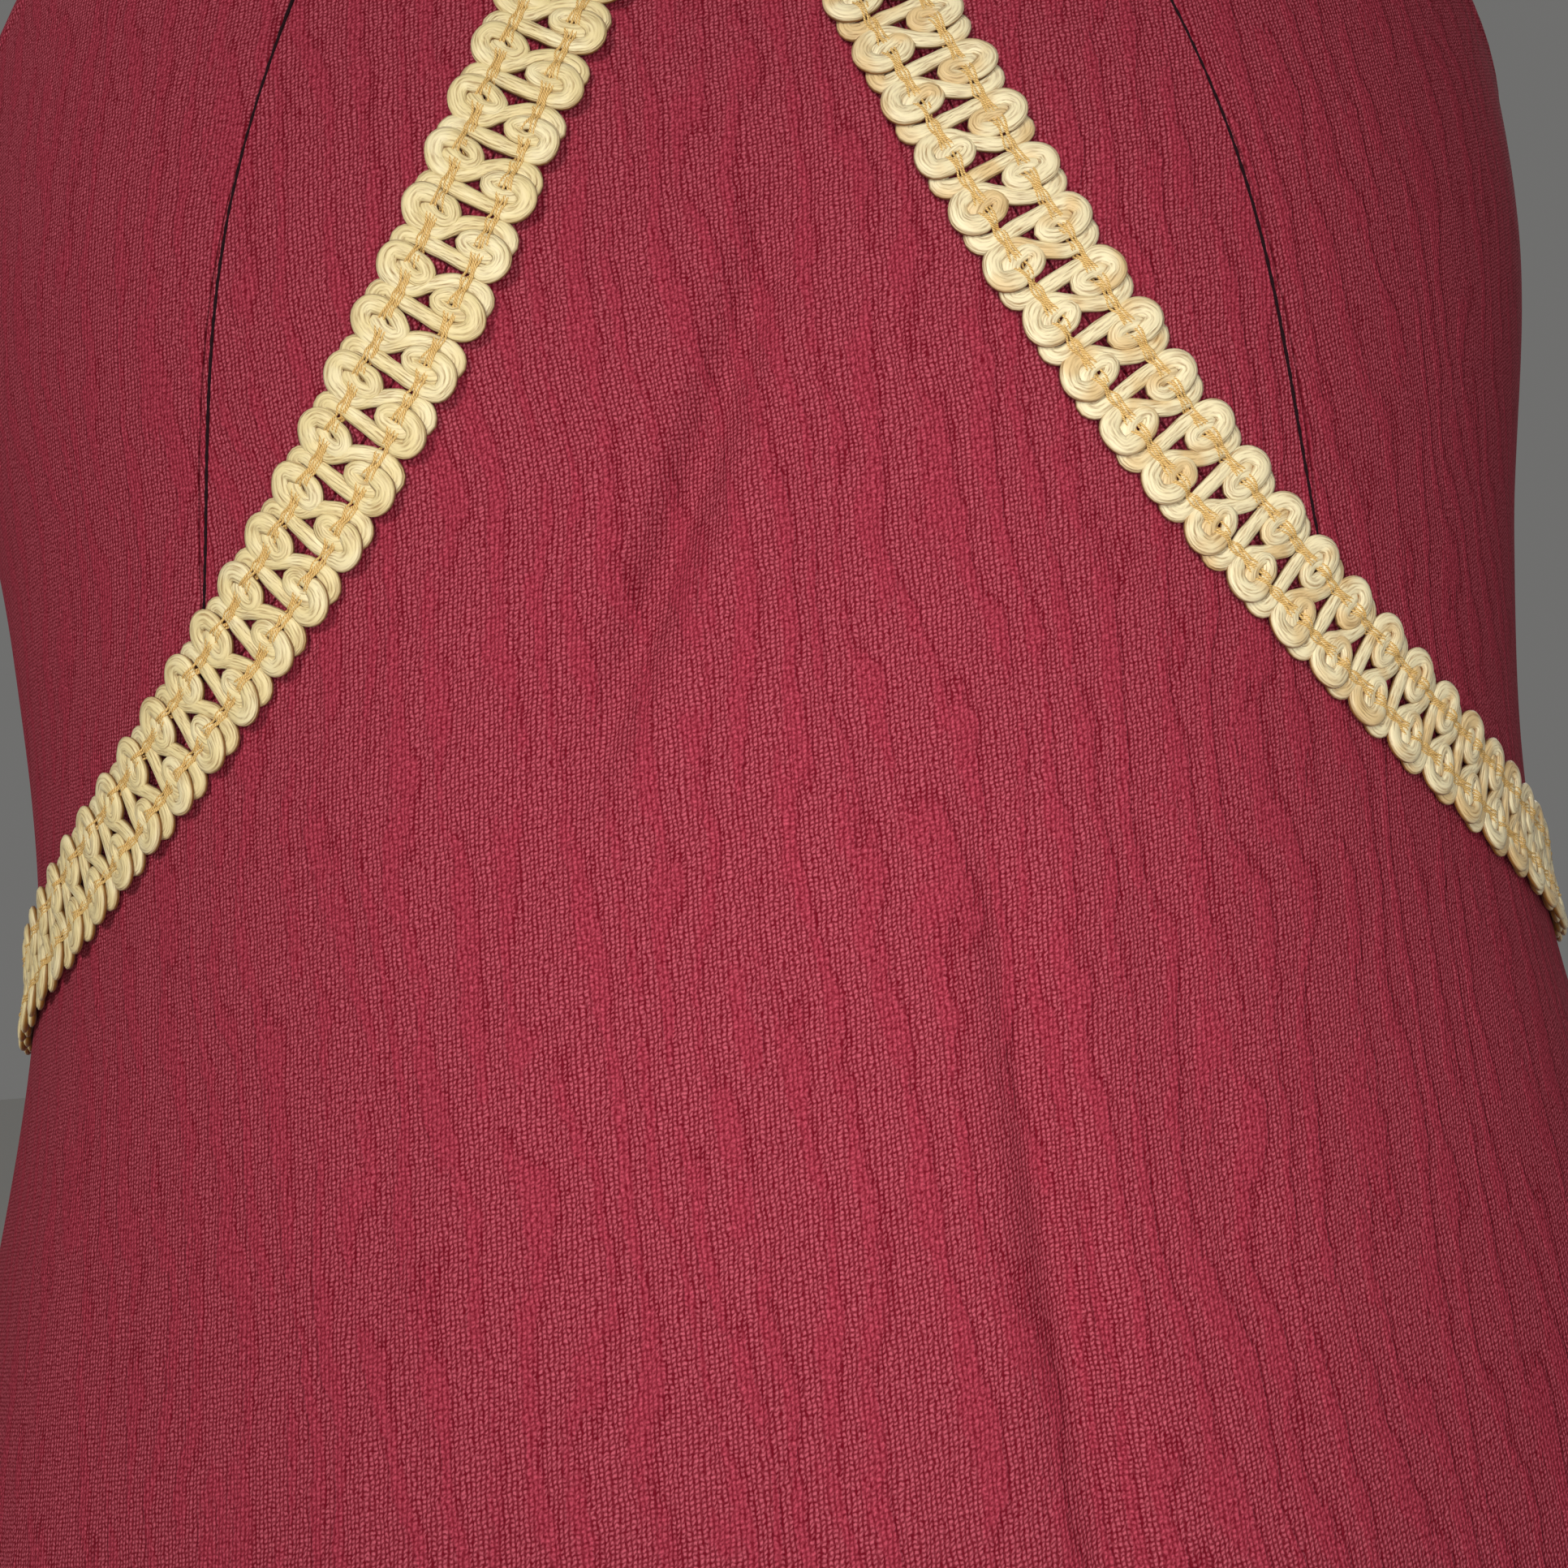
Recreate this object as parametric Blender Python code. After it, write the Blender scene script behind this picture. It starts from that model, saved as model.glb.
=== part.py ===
"""A sarafan: a sleeveless folk dress with a raised waist, filled out as when it is worn.

The dress hangs from two shoulder straps. Its front bodice is cut in three, joined by
curved princess seams, and its back bodice in one. The flared skirt has a front and a
back. The front skirt rises between the bodice pieces to a rounded peak at the centre,
and a scroll braid covers that seam from each side seam up to the peak.

Metres, +Z up, the front faces -Y. The origin lies between the straps, at the height of
the wearer's shoulders. Along the cloth, places are given by girth, the distance from the
centre front or centre back measured round the raised waist, and by height.
"""

import math

import bpy
import numpy as np

MM = 0.001

# Cloth and gaps
CLOTH = 1.5 * MM
SEAM_GAP = 0.34 * MM
BRAID_CLEARANCE = 0.55 * MM

# Heights of the main lines, below the shoulders
FRONT_NECK = -0.158
FRONT_STRAP = -0.150
BACK_NECK = -0.192
BACK_STRAP = -0.180
UNDERARM = -0.235
PEAK = -0.190
HEM = -1.220

# The filled-out form: height, half width, front depth and back depth of its sections
SECTIONS = (
    (-0.080, 0.136, 0.066, 0.084),
    (-0.150, 0.146, 0.091, 0.098),
    (-0.200, 0.154, 0.106, 0.103),
    (-0.260, 0.158, 0.120, 0.103),
    (-0.320, 0.151, 0.129, 0.096),
    (-0.370, 0.149, 0.137, 0.095),
    (-0.460, 0.168, 0.154, 0.116),
    (-0.620, 0.217, 0.192, 0.168),
    (-0.900, 0.304, 0.268, 0.252),
    (-1.240, 0.405, 0.355, 0.345),
)
ROUNDNESS = 2.2

# Fullness let into the bodice over each side of the bust by the princess seams
BUST_FULLNESS = 11 * MM
BUST_OUT = 0.082
BUST_HEIGHT = -0.262
BUST_REACH = 0.046

# Soft flutes of the skirt
FLUTES = 14
FLUTE_DEPTH = 36 * MM
FLUTE_GROWTH = 1.55
HEM_LIFT = 9 * MM

# Single folds in the front skirt: girth and height at the top, girth and height at the
# bottom, half width and depth
FRONT_FOLDS = (
    ("slanting_fold", 13 * MM, -0.252, -36 * MM, -0.362, 6.5 * MM, 2.2 * MM),
    ("right_fold", 26 * MM, -0.366, 31 * MM, -0.580, 7.5 * MM, 3.4 * MM),
    ("left_fold", -43 * MM, -0.346, -60 * MM, -0.430, 7.0 * MM, 1.2 * MM),
)

# The seam under the braid: a small arc at the peak, a straight flank, a wide arc to the side
PEAK_RADIUS = 12 * MM
FLANK_SLOPE = math.radians(67.7)
SIDE_RADIUS = 206 * MM

# Princess seams: girth at the neckline and at the braid, and how far they bow outwards
PRINCESS_TOP = 56 * MM
PRINCESS_END = 90 * MM
PRINCESS_BOW = 2 * MM

# Straps
STRAP_INNER = 58 * MM
STRAP_WIDTH = 40 * MM
STRAP_BACK_INNER = 48 * MM
STRAP_SHOULDER_INNER = 66 * MM
SHOULDER_SLOPE = math.radians(16)
STRAP_CROWN = 1.2 * MM

# Scroll braid
BRAID_REPEAT = 9.55 * MM
BRAID_HALF_WIDTH = 9.4 * MM
BRAID_SCALLOP = 0.9 * MM
BRAID_ROW = 5.2 * MM
BRAID_HEIGHT = 3.0 * MM
BRAID_DIP = 0.8 * MM
BRAID_MIDDLE = 1.7 * MM
BRAID_EDGE = 1.1 * MM
BRAID_STATIONS_PER_REPEAT = 3

# Mesh fineness
HALF_FRONT_COLUMNS = 28
HALF_BACK_COLUMNS = 22
FRONT_SKIRT_ROWS = 16
BACK_SKIRT_ROWS = 10
BODICE_ROWS = 9
STRAP_ROWS = 20
STRAP_COLUMNS = 3

# Finishes
CREPE = ("burgundy_crepe", (0.330, 0.032, 0.052, 1.0), 0.78)
GOLD_CORD = ("gold_satin_cord", (0.830, 0.690, 0.390, 1.0), 0.42)


# The form of the filled-out dress


def section_size(height, column):
    """One size of the form at each height, on a smooth curve through the sections."""
    table = np.array(SECTIONS)[::-1]
    levels = table[:, 0]
    sizes = table[:, column]
    slopes = np.gradient(sizes, levels)
    height = np.clip(height, levels[0], levels[-1])
    below = np.clip(np.searchsorted(levels, height, side="right") - 1, 0, len(levels) - 2)
    span = levels[below + 1] - levels[below]
    t = (height - levels[below]) / span
    return (
        (2 * t**3 - 3 * t**2 + 1) * sizes[below]
        + (t**3 - 2 * t**2 + t) * span * slopes[below]
        + (-2 * t**3 + 3 * t**2) * sizes[below + 1]
        + (t**3 - t**2) * span * slopes[below + 1]
    )


def form_radius(turn, height):
    """Distance from the dress's axis. turn is 0 at the centre front and half a turn at the back."""
    half_width = section_size(height, 1)
    depth = np.where(np.cos(turn) >= 0, section_size(height, 2), section_size(height, 3))
    across = np.abs(np.sin(turn)) / half_width
    along = np.abs(np.cos(turn)) / depth
    return (across**ROUNDNESS + along**ROUNDNESS) ** (-1 / ROUNDNESS)


def flute_wave(turn):
    """The flutes round the skirt, from -1 in a trough to 1 on a ridge, uneven in spacing."""
    phase = FLUTES * turn + 0.55 * np.sin(3 * turn) + 0.35 * np.sin(5 * turn) * np.sin(turn)
    return (np.cos(phase) + 0.18 * np.cos(2 * phase)) / 1.18


def flute_offset(turn, height):
    """How far a flute stands out from the form. Flutes start at the raised waist and deepen."""
    depth = np.clip((WAIST - height) / (WAIST - HEM), 0, None) ** FLUTE_GROWTH
    uneven = 1 + 0.22 * np.sin(3 * turn + 1.1) + 0.14 * np.sin(7 * turn + 2.4)
    return FLUTE_DEPTH * depth * uneven * flute_wave(turn)


def fold_offset(turn, height):
    """How far the single folds of the front skirt sink in, each fading out at its ends."""
    girth = np.sign(turn) * np.interp(np.abs(turn), QUARTER_TURNS, FRONT_GIRTHS)
    sunk = np.zeros_like(girth)
    for _name, top_girth, top, bottom_girth, bottom, half_width, depth in FRONT_FOLDS:
        share = np.clip((top - height) / (top - bottom), 0, 1)
        middle = top_girth + (bottom_girth - top_girth) * share
        fade = np.sin(math.pi * share) ** 0.8
        sunk = sunk + depth * fade * np.exp(-(((girth - middle) / half_width) ** 2))
    return -sunk


def bust_offset(x, height, turn):
    """Fullness of the bodice front, let in by the princess seams."""
    reach = BUST_REACH**2
    left = np.exp(-((x + BUST_OUT) ** 2 + (height - BUST_HEIGHT) ** 2) / (2 * reach))
    right = np.exp(-((x - BUST_OUT) ** 2 + (height - BUST_HEIGHT) ** 2) / (2 * reach))
    return BUST_FULLNESS * (left + right) * np.clip(np.cos(turn), 0, None)


def skin(turn, height):
    """Points on the outside of the cloth."""
    radius = form_radius(turn, height)
    radius = radius + flute_offset(turn, height)
    radius = radius + fold_offset(turn, height)
    radius = radius + bust_offset(radius * np.sin(turn), height, turn)
    return np.stack([radius * np.sin(turn), -radius * np.cos(turn), height], axis=-1)


def unit(vectors):
    return vectors / np.linalg.norm(vectors, axis=-1, keepdims=True)


def skin_normal(turn, height):
    """Outward directions of the cloth."""
    step = 1e-4
    round_it = skin(turn + step, height) - skin(turn - step, height)
    up_it = skin(turn, height + step) - skin(turn, height - step)
    return unit(np.cross(round_it, up_it))


def girth_tables(height):
    """Turns against girth at one height, for the front and the back."""
    steps = np.linspace(0, math.pi / 2, 600)
    tables = []
    for start, sign in ((0.0, 1.0), (math.pi, -1.0)):
        turns = start + sign * steps
        radius = form_radius(turns, np.full_like(turns, height))
        points = np.stack([radius * np.sin(turns), -radius * np.cos(turns)], axis=-1)
        lengths = np.linalg.norm(np.diff(points, axis=0), axis=1)
        tables.append((np.concatenate([[0.0], np.cumsum(lengths)]), steps))
    return tables


# The raised waist's height and its girths, which the seam's arcs decide


def seam_run(front_girth):
    """Length of the straight flank, and how far the seam falls from the peak to the side."""
    rise = math.cos(FLANK_SLOPE)
    flank = (front_girth - (PEAK_RADIUS + SIDE_RADIUS) * math.sin(FLANK_SLOPE)) / rise
    fall = (PEAK_RADIUS + SIDE_RADIUS) * (1 - rise) + flank * math.sin(FLANK_SLOPE)
    return flank, fall


WAIST = SECTIONS[5][0]
(FRONT_GIRTHS, QUARTER_TURNS), (BACK_GIRTHS, _) = girth_tables(WAIST)
HALF_FRONT = float(FRONT_GIRTHS[-1])
HALF_BACK = float(BACK_GIRTHS[-1])
FLANK, SEAM_FALL = seam_run(HALF_FRONT)
SIDE_SEAM_HEIGHT = PEAK - SEAM_FALL
SEAM_LENGTH = (PEAK_RADIUS + SIDE_RADIUS) * FLANK_SLOPE + FLANK


def front_turn(girth):
    return np.sign(girth) * np.interp(np.abs(girth), FRONT_GIRTHS, QUARTER_TURNS)


def back_turn(girth):
    """Girth is from the centre back, positive towards +X."""
    return math.pi - np.sign(girth) * np.interp(np.abs(girth), BACK_GIRTHS, QUARTER_TURNS)


def seam_place(distance):
    """Girth, fall from the peak and slope of the braided seam, at a distance along it."""
    distance = np.asarray(distance, float)
    first = PEAK_RADIUS * FLANK_SLOPE
    second = first + FLANK
    on_peak = np.clip(distance / PEAK_RADIUS, 0, FLANK_SLOPE)
    on_flank = np.clip(distance - first, 0, FLANK)
    on_side = FLANK_SLOPE - np.clip((distance - second) / SIDE_RADIUS, 0, FLANK_SLOPE)
    slope = np.where(distance < first, on_peak, np.where(distance < second, FLANK_SLOPE, on_side))
    girth = (
        PEAK_RADIUS * np.sin(on_peak)
        + on_flank * math.cos(FLANK_SLOPE)
        + SIDE_RADIUS * (math.sin(FLANK_SLOPE) - np.sin(on_side))
    )
    fall = (
        PEAK_RADIUS * (1 - np.cos(on_peak))
        + on_flank * math.sin(FLANK_SLOPE)
        + SIDE_RADIUS * (np.cos(on_side) - math.cos(FLANK_SLOPE))
    )
    return girth, fall, slope


def seam_distance(girth):
    """Distance along the braided seam at which it reaches a girth."""
    distances = np.linspace(0, SEAM_LENGTH, 2000)
    return np.interp(girth, seam_place(distances)[0], distances)


def seam_edge(girth, side):
    """Girth and height of a panel's edge along the braided seam. side is 1 for skirt, -1 for bodice."""
    place, fall, slope = seam_place(seam_distance(np.abs(girth)))
    gap = side * SEAM_GAP / 2
    edge = np.clip(place - gap * np.sin(slope), 0, None)
    return np.sign(girth) * edge, PEAK - fall - gap * np.cos(slope)


# Pieces


def material(finish):
    name, colour, roughness = finish
    made = bpy.data.materials.get(name)
    if made:
        return made
    made = bpy.data.materials.new(name)
    made.use_nodes = True
    shader = made.node_tree.nodes["Principled BSDF"]
    shader.inputs["Base Color"].default_value = colour
    shader.inputs["Roughness"].default_value = roughness
    shader.inputs["Metallic"].default_value = 0.0
    return made


def add_object(name, points, faces, finish):
    mesh = bpy.data.meshes.new(name)
    mesh.from_pydata([tuple(p) for p in points], [], faces)
    mesh.validate()
    mesh.shade_smooth()
    mesh.set_sharp_from_angle(angle=math.radians(50))
    mesh.materials.append(material(finish))
    made = bpy.data.objects.new(name, mesh)
    bpy.context.scene.collection.objects.link(made)
    return made


def wall(name, outside, inside, finish):
    """A closed sheet from two grids of points, rows by columns, seen from outside left to right."""
    rows, columns = outside.shape[:2]
    count = rows * columns
    points = np.concatenate([outside.reshape(-1, 3), inside.reshape(-1, 3)])
    faces = []
    for r in range(rows - 1):
        for c in range(columns - 1):
            a = r * columns + c
            b, d, e = a + 1, a + columns, a + columns + 1
            faces.append((a, d, e, b))
            faces.append((a + count, b + count, e + count, d + count))
    rim = [(0, c) for c in range(columns)]
    rim += [(r, columns - 1) for r in range(1, rows)]
    rim += [(rows - 1, c) for c in range(columns - 2, -1, -1)]
    rim += [(r, 0) for r in range(rows - 2, 0, -1)]
    for here, there in zip(rim, rim[1:] + rim[:1]):
        a = here[0] * columns + here[1]
        b = there[0] * columns + there[1]
        faces.append((a, b, b + count, a + count))
    return add_object(name, points, faces, finish)


def cloth_panel(name, turn, height):
    """A panel of crepe from grids of turns and heights, from the top row down."""
    outside = skin(turn, height)
    inside = outside - CLOTH * skin_normal(turn, height)
    return wall(name, outside, inside, CREPE)


def rows_between(top, bottom, count, growth=1.0):
    """Grid of values from the top row to the bottom row, closer together at the top."""
    share = (np.arange(count + 1) / count) ** growth
    return top[None, :] + (bottom - top)[None, :] * share[:, None]


def hem_height(turn):
    """The hem lifts a little where a ridge carries it outwards."""
    return HEM + HEM_LIFT * (1 + flute_wave(turn)) / 2


def front_columns():
    """Girths of the front's columns from side seam to side seam, shared by skirt and bodice."""
    half = np.linspace(0, HALF_FRONT, HALF_FRONT_COLUMNS + 1)
    half[np.argmin(np.abs(half - PRINCESS_END))] = PRINCESS_END
    half[-1] -= SEAM_GAP / 2
    return np.concatenate([-half[:0:-1], half])


def skirt_front():
    girths = front_columns()
    edge, top = seam_edge(girths, 1)
    turn = front_turn(girths)
    turns = rows_between(front_turn(edge), turn, FRONT_SKIRT_ROWS, 1.0)
    turns[1:] = turn
    heights = rows_between(top, hem_height(turn), FRONT_SKIRT_ROWS, 1.45)
    return cloth_panel("skirt_front", turns, heights)


def skirt_back():
    half = np.linspace(0, HALF_BACK, HALF_BACK_COLUMNS + 1)
    half[-1] -= SEAM_GAP / 2
    turn = back_turn(np.concatenate([half[:0:-1], -half]))
    top = np.full_like(turn, SIDE_SEAM_HEIGHT - SEAM_GAP / 2)
    heights = rows_between(top, hem_height(turn), BACK_SKIRT_ROWS, 1.15)
    return cloth_panel("skirt_back", np.broadcast_to(turn, heights.shape), heights)


def armhole_fall(girth, start, end, top):
    """The armhole's edge: steep beside the strap, level under the arm."""
    share = np.clip((girth - start) / (end - start), 0, 1)
    return top - (top - UNDERARM) * (1 - (1 - share) ** 2.2)


def front_top_edge(girth):
    """Height of the front bodice's upper edge: neckline, strap, then armhole."""
    scoop = FRONT_NECK + (FRONT_STRAP - FRONT_NECK) * np.clip(girth / PRINCESS_TOP, 0, 1) ** 2
    armhole = armhole_fall(girth, STRAP_INNER + STRAP_WIDTH + 2 * MM, HALF_FRONT, FRONT_STRAP)
    return np.where(girth < PRINCESS_TOP, scoop, armhole)


def princess_width(share):
    """Girth of the princess seam, from the neckline at 0 to the braid at 1."""
    straight = PRINCESS_TOP + (PRINCESS_END - PRINCESS_TOP) * share
    return straight + PRINCESS_BOW * 4 * share * (1 - share)


def bodice_front_centre():
    girths = front_columns()
    girths = girths[np.abs(girths) <= PRINCESS_END + 1e-9]
    edge, bottom = seam_edge(girths, -1)
    share = girths / PRINCESS_END
    down = np.linspace(0, 1, BODICE_ROWS + 1)[:, None]
    width = princess_width(down) - SEAM_GAP / 2
    across = share[None, :] * width
    across = across * (1 - down**4) + (edge * (1 - SEAM_GAP / 2 / PRINCESS_END))[None, :] * down**4
    top = front_top_edge(np.abs(share) * PRINCESS_TOP)
    heights = top[None, :] + (bottom - top)[None, :] * down
    return cloth_panel("bodice_front_centre", front_turn(across), heights)


def bodice_front_side(name, sign):
    girths = front_columns()
    girths = girths[girths >= PRINCESS_END - 1e-9]
    edge, bottom = seam_edge(girths, -1)
    share = (girths - girths[0]) / (girths[-1] - girths[0])
    outer = HALF_FRONT - SEAM_GAP / 2
    down = np.linspace(0, 1, BODICE_ROWS + 1)[:, None]
    inner = princess_width(down) + SEAM_GAP / 2
    across = inner + (outer - inner) * share[None, :]
    across = across * (1 - down**4) + (edge + SEAM_GAP / 2 * (1 - share))[None, :] * down**4
    top = front_top_edge(PRINCESS_TOP + SEAM_GAP / 2 + (outer - PRINCESS_TOP) * share)
    heights = top[None, :] + (bottom - top)[None, :] * down
    if sign < 0:
        across = across[:, ::-1]
        heights = heights[:, ::-1]
    return cloth_panel(name, front_turn(sign * across), heights)


def back_top_edge(girth):
    """Height of the back bodice's upper edge."""
    strap_outer = STRAP_BACK_INNER + STRAP_WIDTH
    scoop = BACK_NECK + (BACK_STRAP - BACK_NECK) * np.clip(girth / STRAP_BACK_INNER, 0, 1) ** 2
    armhole = armhole_fall(girth, strap_outer + 2 * MM, HALF_BACK, BACK_STRAP)
    return np.where(girth < STRAP_BACK_INNER, scoop, armhole)


def bodice_back():
    half = np.linspace(0, HALF_BACK, HALF_BACK_COLUMNS + 1)
    half[-1] -= SEAM_GAP / 2
    girths = np.concatenate([half[:0:-1], -half])
    bottom = np.full_like(girths, SIDE_SEAM_HEIGHT + SEAM_GAP / 2)
    heights = rows_between(back_top_edge(np.abs(girths)), bottom, BODICE_ROWS)
    return cloth_panel("bodice_back", np.broadcast_to(back_turn(girths), heights.shape), heights)


def bezier(start, start_handle, end_handle, end, count):
    t = np.linspace(0, 1, count)[:, None]
    return (
        (1 - t) ** 3 * start
        + 3 * (1 - t) ** 2 * t * start_handle
        + 3 * (1 - t) * t**2 * end_handle
        + t**3 * end
    )


def strap_rail(front_turns, back_turns, top_point, rows):
    """One long edge of a strap, from the front bodice over the shoulder to the back."""
    rise = 10 * MM
    front_height = np.array(FRONT_STRAP + SEAM_GAP)
    back_height = np.array(BACK_STRAP + SEAM_GAP)
    front = skin(front_turns, front_height)
    back = skin(back_turns, back_height)
    up_front = unit(skin(front_turns, front_height + rise) - front)
    up_back = unit(skin(back_turns, back_height + rise) - back)
    over = np.array([0.0, 1.0, 0.0])
    half = rows // 2
    climb = bezier(front, front + 0.085 * up_front, top_point - 0.052 * over, top_point, half + 1)
    descent = bezier(top_point, top_point + 0.052 * over, back + 0.100 * up_back, back, half + 1)
    return np.concatenate([climb, descent[1:]])


def strap(name, sign):
    across = np.linspace(0, 1, STRAP_COLUMNS + 1)
    front_turns = front_turn(STRAP_INNER + across * STRAP_WIDTH)
    back_turns = back_turn(STRAP_BACK_INNER + across * STRAP_WIDTH)
    rails = []
    for share, turn_in_front, turn_behind in zip(across, front_turns, back_turns):
        out = STRAP_SHOULDER_INNER + share * STRAP_WIDTH * math.cos(SHOULDER_SLOPE)
        drop = share * STRAP_WIDTH * math.sin(SHOULDER_SLOPE)
        crown = STRAP_CROWN * 4 * share * (1 - share)
        top_point = np.array([out, 0.0, CLOTH - drop + crown])
        rails.append(strap_rail(turn_in_front, turn_behind, top_point, STRAP_ROWS))
    outside = np.stack(rails, axis=1)
    along = np.gradient(outside, axis=0)
    over = np.gradient(outside, axis=1)
    inside = outside - CLOTH * unit(np.cross(over, along))
    if sign < 0:
        flip = np.array([-1.0, 1.0, 1.0])
        outside = outside * flip
        inside = inside * flip
    else:
        outside = outside[:, ::-1]
        inside = inside[:, ::-1]
    return wall(name, outside, inside, CREPE)


def braid_profile(beat):
    """Across and height of the braid's section, clockwise. beat is its place in the repeat."""
    lobe = math.cos(2 * math.pi * beat)
    width = BRAID_HALF_WIDTH - BRAID_SCALLOP * (0.5 + 0.5 * lobe)
    crest = BRAID_HEIGHT - BRAID_DIP * (0.5 + 0.5 * lobe)
    return (
        (-width, 0.0),
        (-width, BRAID_EDGE),
        (-BRAID_ROW, crest),
        (0.0, BRAID_MIDDLE),
        (BRAID_ROW, crest),
        (width, BRAID_EDGE),
        (width, 0.0),
    )


def on_front(girth, fall):
    """Turn and height of a place on the front."""
    return front_turn(girth), PEAK - fall


def braid_leg(name, sign):
    """One leg of the braid, from the peak to the side seam, centred on the seam."""
    start = SEAM_GAP / 2
    end = SEAM_LENGTH - SEAM_GAP
    beats = math.floor((end - start) / BRAID_REPEAT * BRAID_STATIONS_PER_REPEAT)
    rings = []
    for distance in np.linspace(start, end, beats + 1):
        girth, fall, slope = (float(v) for v in seam_place(distance))
        step = 0.2 * MM
        here = skin(*on_front(np.array(girth), fall))
        by_girth = (skin(*on_front(np.array(girth + step), fall)) - here) / step
        by_fall = (skin(*on_front(np.array(girth), fall + step)) - here) / step
        along = unit(by_girth * math.cos(slope) + by_fall * math.sin(slope))
        normal = skin_normal(*on_front(np.array(girth), fall))
        across = np.cross(normal, along)
        shares = np.linalg.lstsq(np.stack([by_girth, by_fall], axis=1), across, rcond=None)[0]
        ring = []
        for aside, rise in braid_profile(distance / BRAID_REPEAT):
            reached = max(girth + aside * shares[0], SEAM_GAP / 2)
            place = on_front(np.array(reached), fall + aside * shares[1])
            lift = BRAID_CLEARANCE + rise
            ring.append(skin(*place) + lift * skin_normal(*place))
        rings.append(ring)
    points = np.array(rings)
    if sign < 0:
        points = points * np.array([-1.0, 1.0, 1.0])
    count, around = points.shape[:2]
    faces = []
    for r in range(count - 1):
        for k in range(around):
            a, b = r * around + k, r * around + (k + 1) % around
            faces.append((a, a + around, b + around, b))
    faces.append(tuple(range(around)))
    faces.append(tuple(range(count * around - 1, (count - 1) * around - 1, -1)))
    if sign < 0:
        faces = [face[::-1] for face in faces]
    return add_object(name, points.reshape(-1, 3), faces, GOLD_CORD)


def build():
    for old in list(bpy.data.objects):
        bpy.data.objects.remove(old)
    skirt_front()
    skirt_back()
    bodice_front_centre()
    bodice_front_side("bodice_front_side_left", -1)
    bodice_front_side("bodice_front_side_right", 1)
    bodice_back()
    strap("strap_left", -1)
    strap("strap_right", 1)
    braid_leg("braid_left", -1)
    braid_leg("braid_right", 1)


build()
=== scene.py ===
"""A sarafan in burgundy crepe with gold scroll braid, seen close to its front.

The dress is filled out as when it is worn. Its front skirt rises between the bodice
pieces to a rounded peak, and the braid covers that seam from side seam to side seam.
Each cut piece is a thin shell of cloth, with its creases, seams and hems.

Metres, +Z up, the front faces -Y. Places on the cloth are given by girth, the distance
from the centre front or back measured round the raised waist, and by height.
"""

import math

import bpy
import numpy as np
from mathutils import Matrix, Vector

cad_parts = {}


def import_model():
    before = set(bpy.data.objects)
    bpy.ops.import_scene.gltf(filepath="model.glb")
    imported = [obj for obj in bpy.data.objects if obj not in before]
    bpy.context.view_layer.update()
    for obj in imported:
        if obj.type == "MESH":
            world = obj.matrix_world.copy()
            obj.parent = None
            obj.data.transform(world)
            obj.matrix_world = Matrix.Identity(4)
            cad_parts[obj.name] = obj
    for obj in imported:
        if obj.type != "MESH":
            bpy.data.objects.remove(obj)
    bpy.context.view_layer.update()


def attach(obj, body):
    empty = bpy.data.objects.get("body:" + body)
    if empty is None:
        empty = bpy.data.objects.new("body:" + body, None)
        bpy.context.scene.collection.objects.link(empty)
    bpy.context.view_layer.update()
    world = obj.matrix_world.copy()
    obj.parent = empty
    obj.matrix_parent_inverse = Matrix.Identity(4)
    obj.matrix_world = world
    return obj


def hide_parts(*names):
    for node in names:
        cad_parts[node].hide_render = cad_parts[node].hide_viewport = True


MM = 0.001

# Cloth and the heights of the dress's main lines, below the shoulders
CLOTH = 0.9 * MM
SEAM_GAP = 0.34 * MM
FRONT_NECK = -0.158
FRONT_STRAP = -0.150
BACK_NECK = -0.192
BACK_STRAP = -0.180
UNDERARM = -0.235
PEAK = -0.190
HEM = -1.220

# The filled-out form: height, half width, front depth and back depth of its sections
SECTIONS = (
    (-0.080, 0.136, 0.066, 0.084),
    (-0.150, 0.146, 0.091, 0.098),
    (-0.200, 0.154, 0.106, 0.103),
    (-0.260, 0.158, 0.120, 0.103),
    (-0.320, 0.151, 0.129, 0.096),
    (-0.370, 0.149, 0.137, 0.095),
    (-0.460, 0.168, 0.154, 0.116),
    (-0.620, 0.217, 0.192, 0.168),
    (-0.900, 0.304, 0.268, 0.252),
    (-1.240, 0.405, 0.355, 0.345),
)
ROUNDNESS = 2.2

# Fullness let into the bodice over each side of the bust by the princess seams
BUST_FULLNESS = 11 * MM
BUST_OUT = 0.082
BUST_HEIGHT = -0.262
BUST_REACH = 0.046

# Soft flutes of the skirt
FLUTES = 14
FLUTE_DEPTH = 36 * MM
FLUTE_GROWTH = 1.55
HEM_LIFT = 9 * MM

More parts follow.
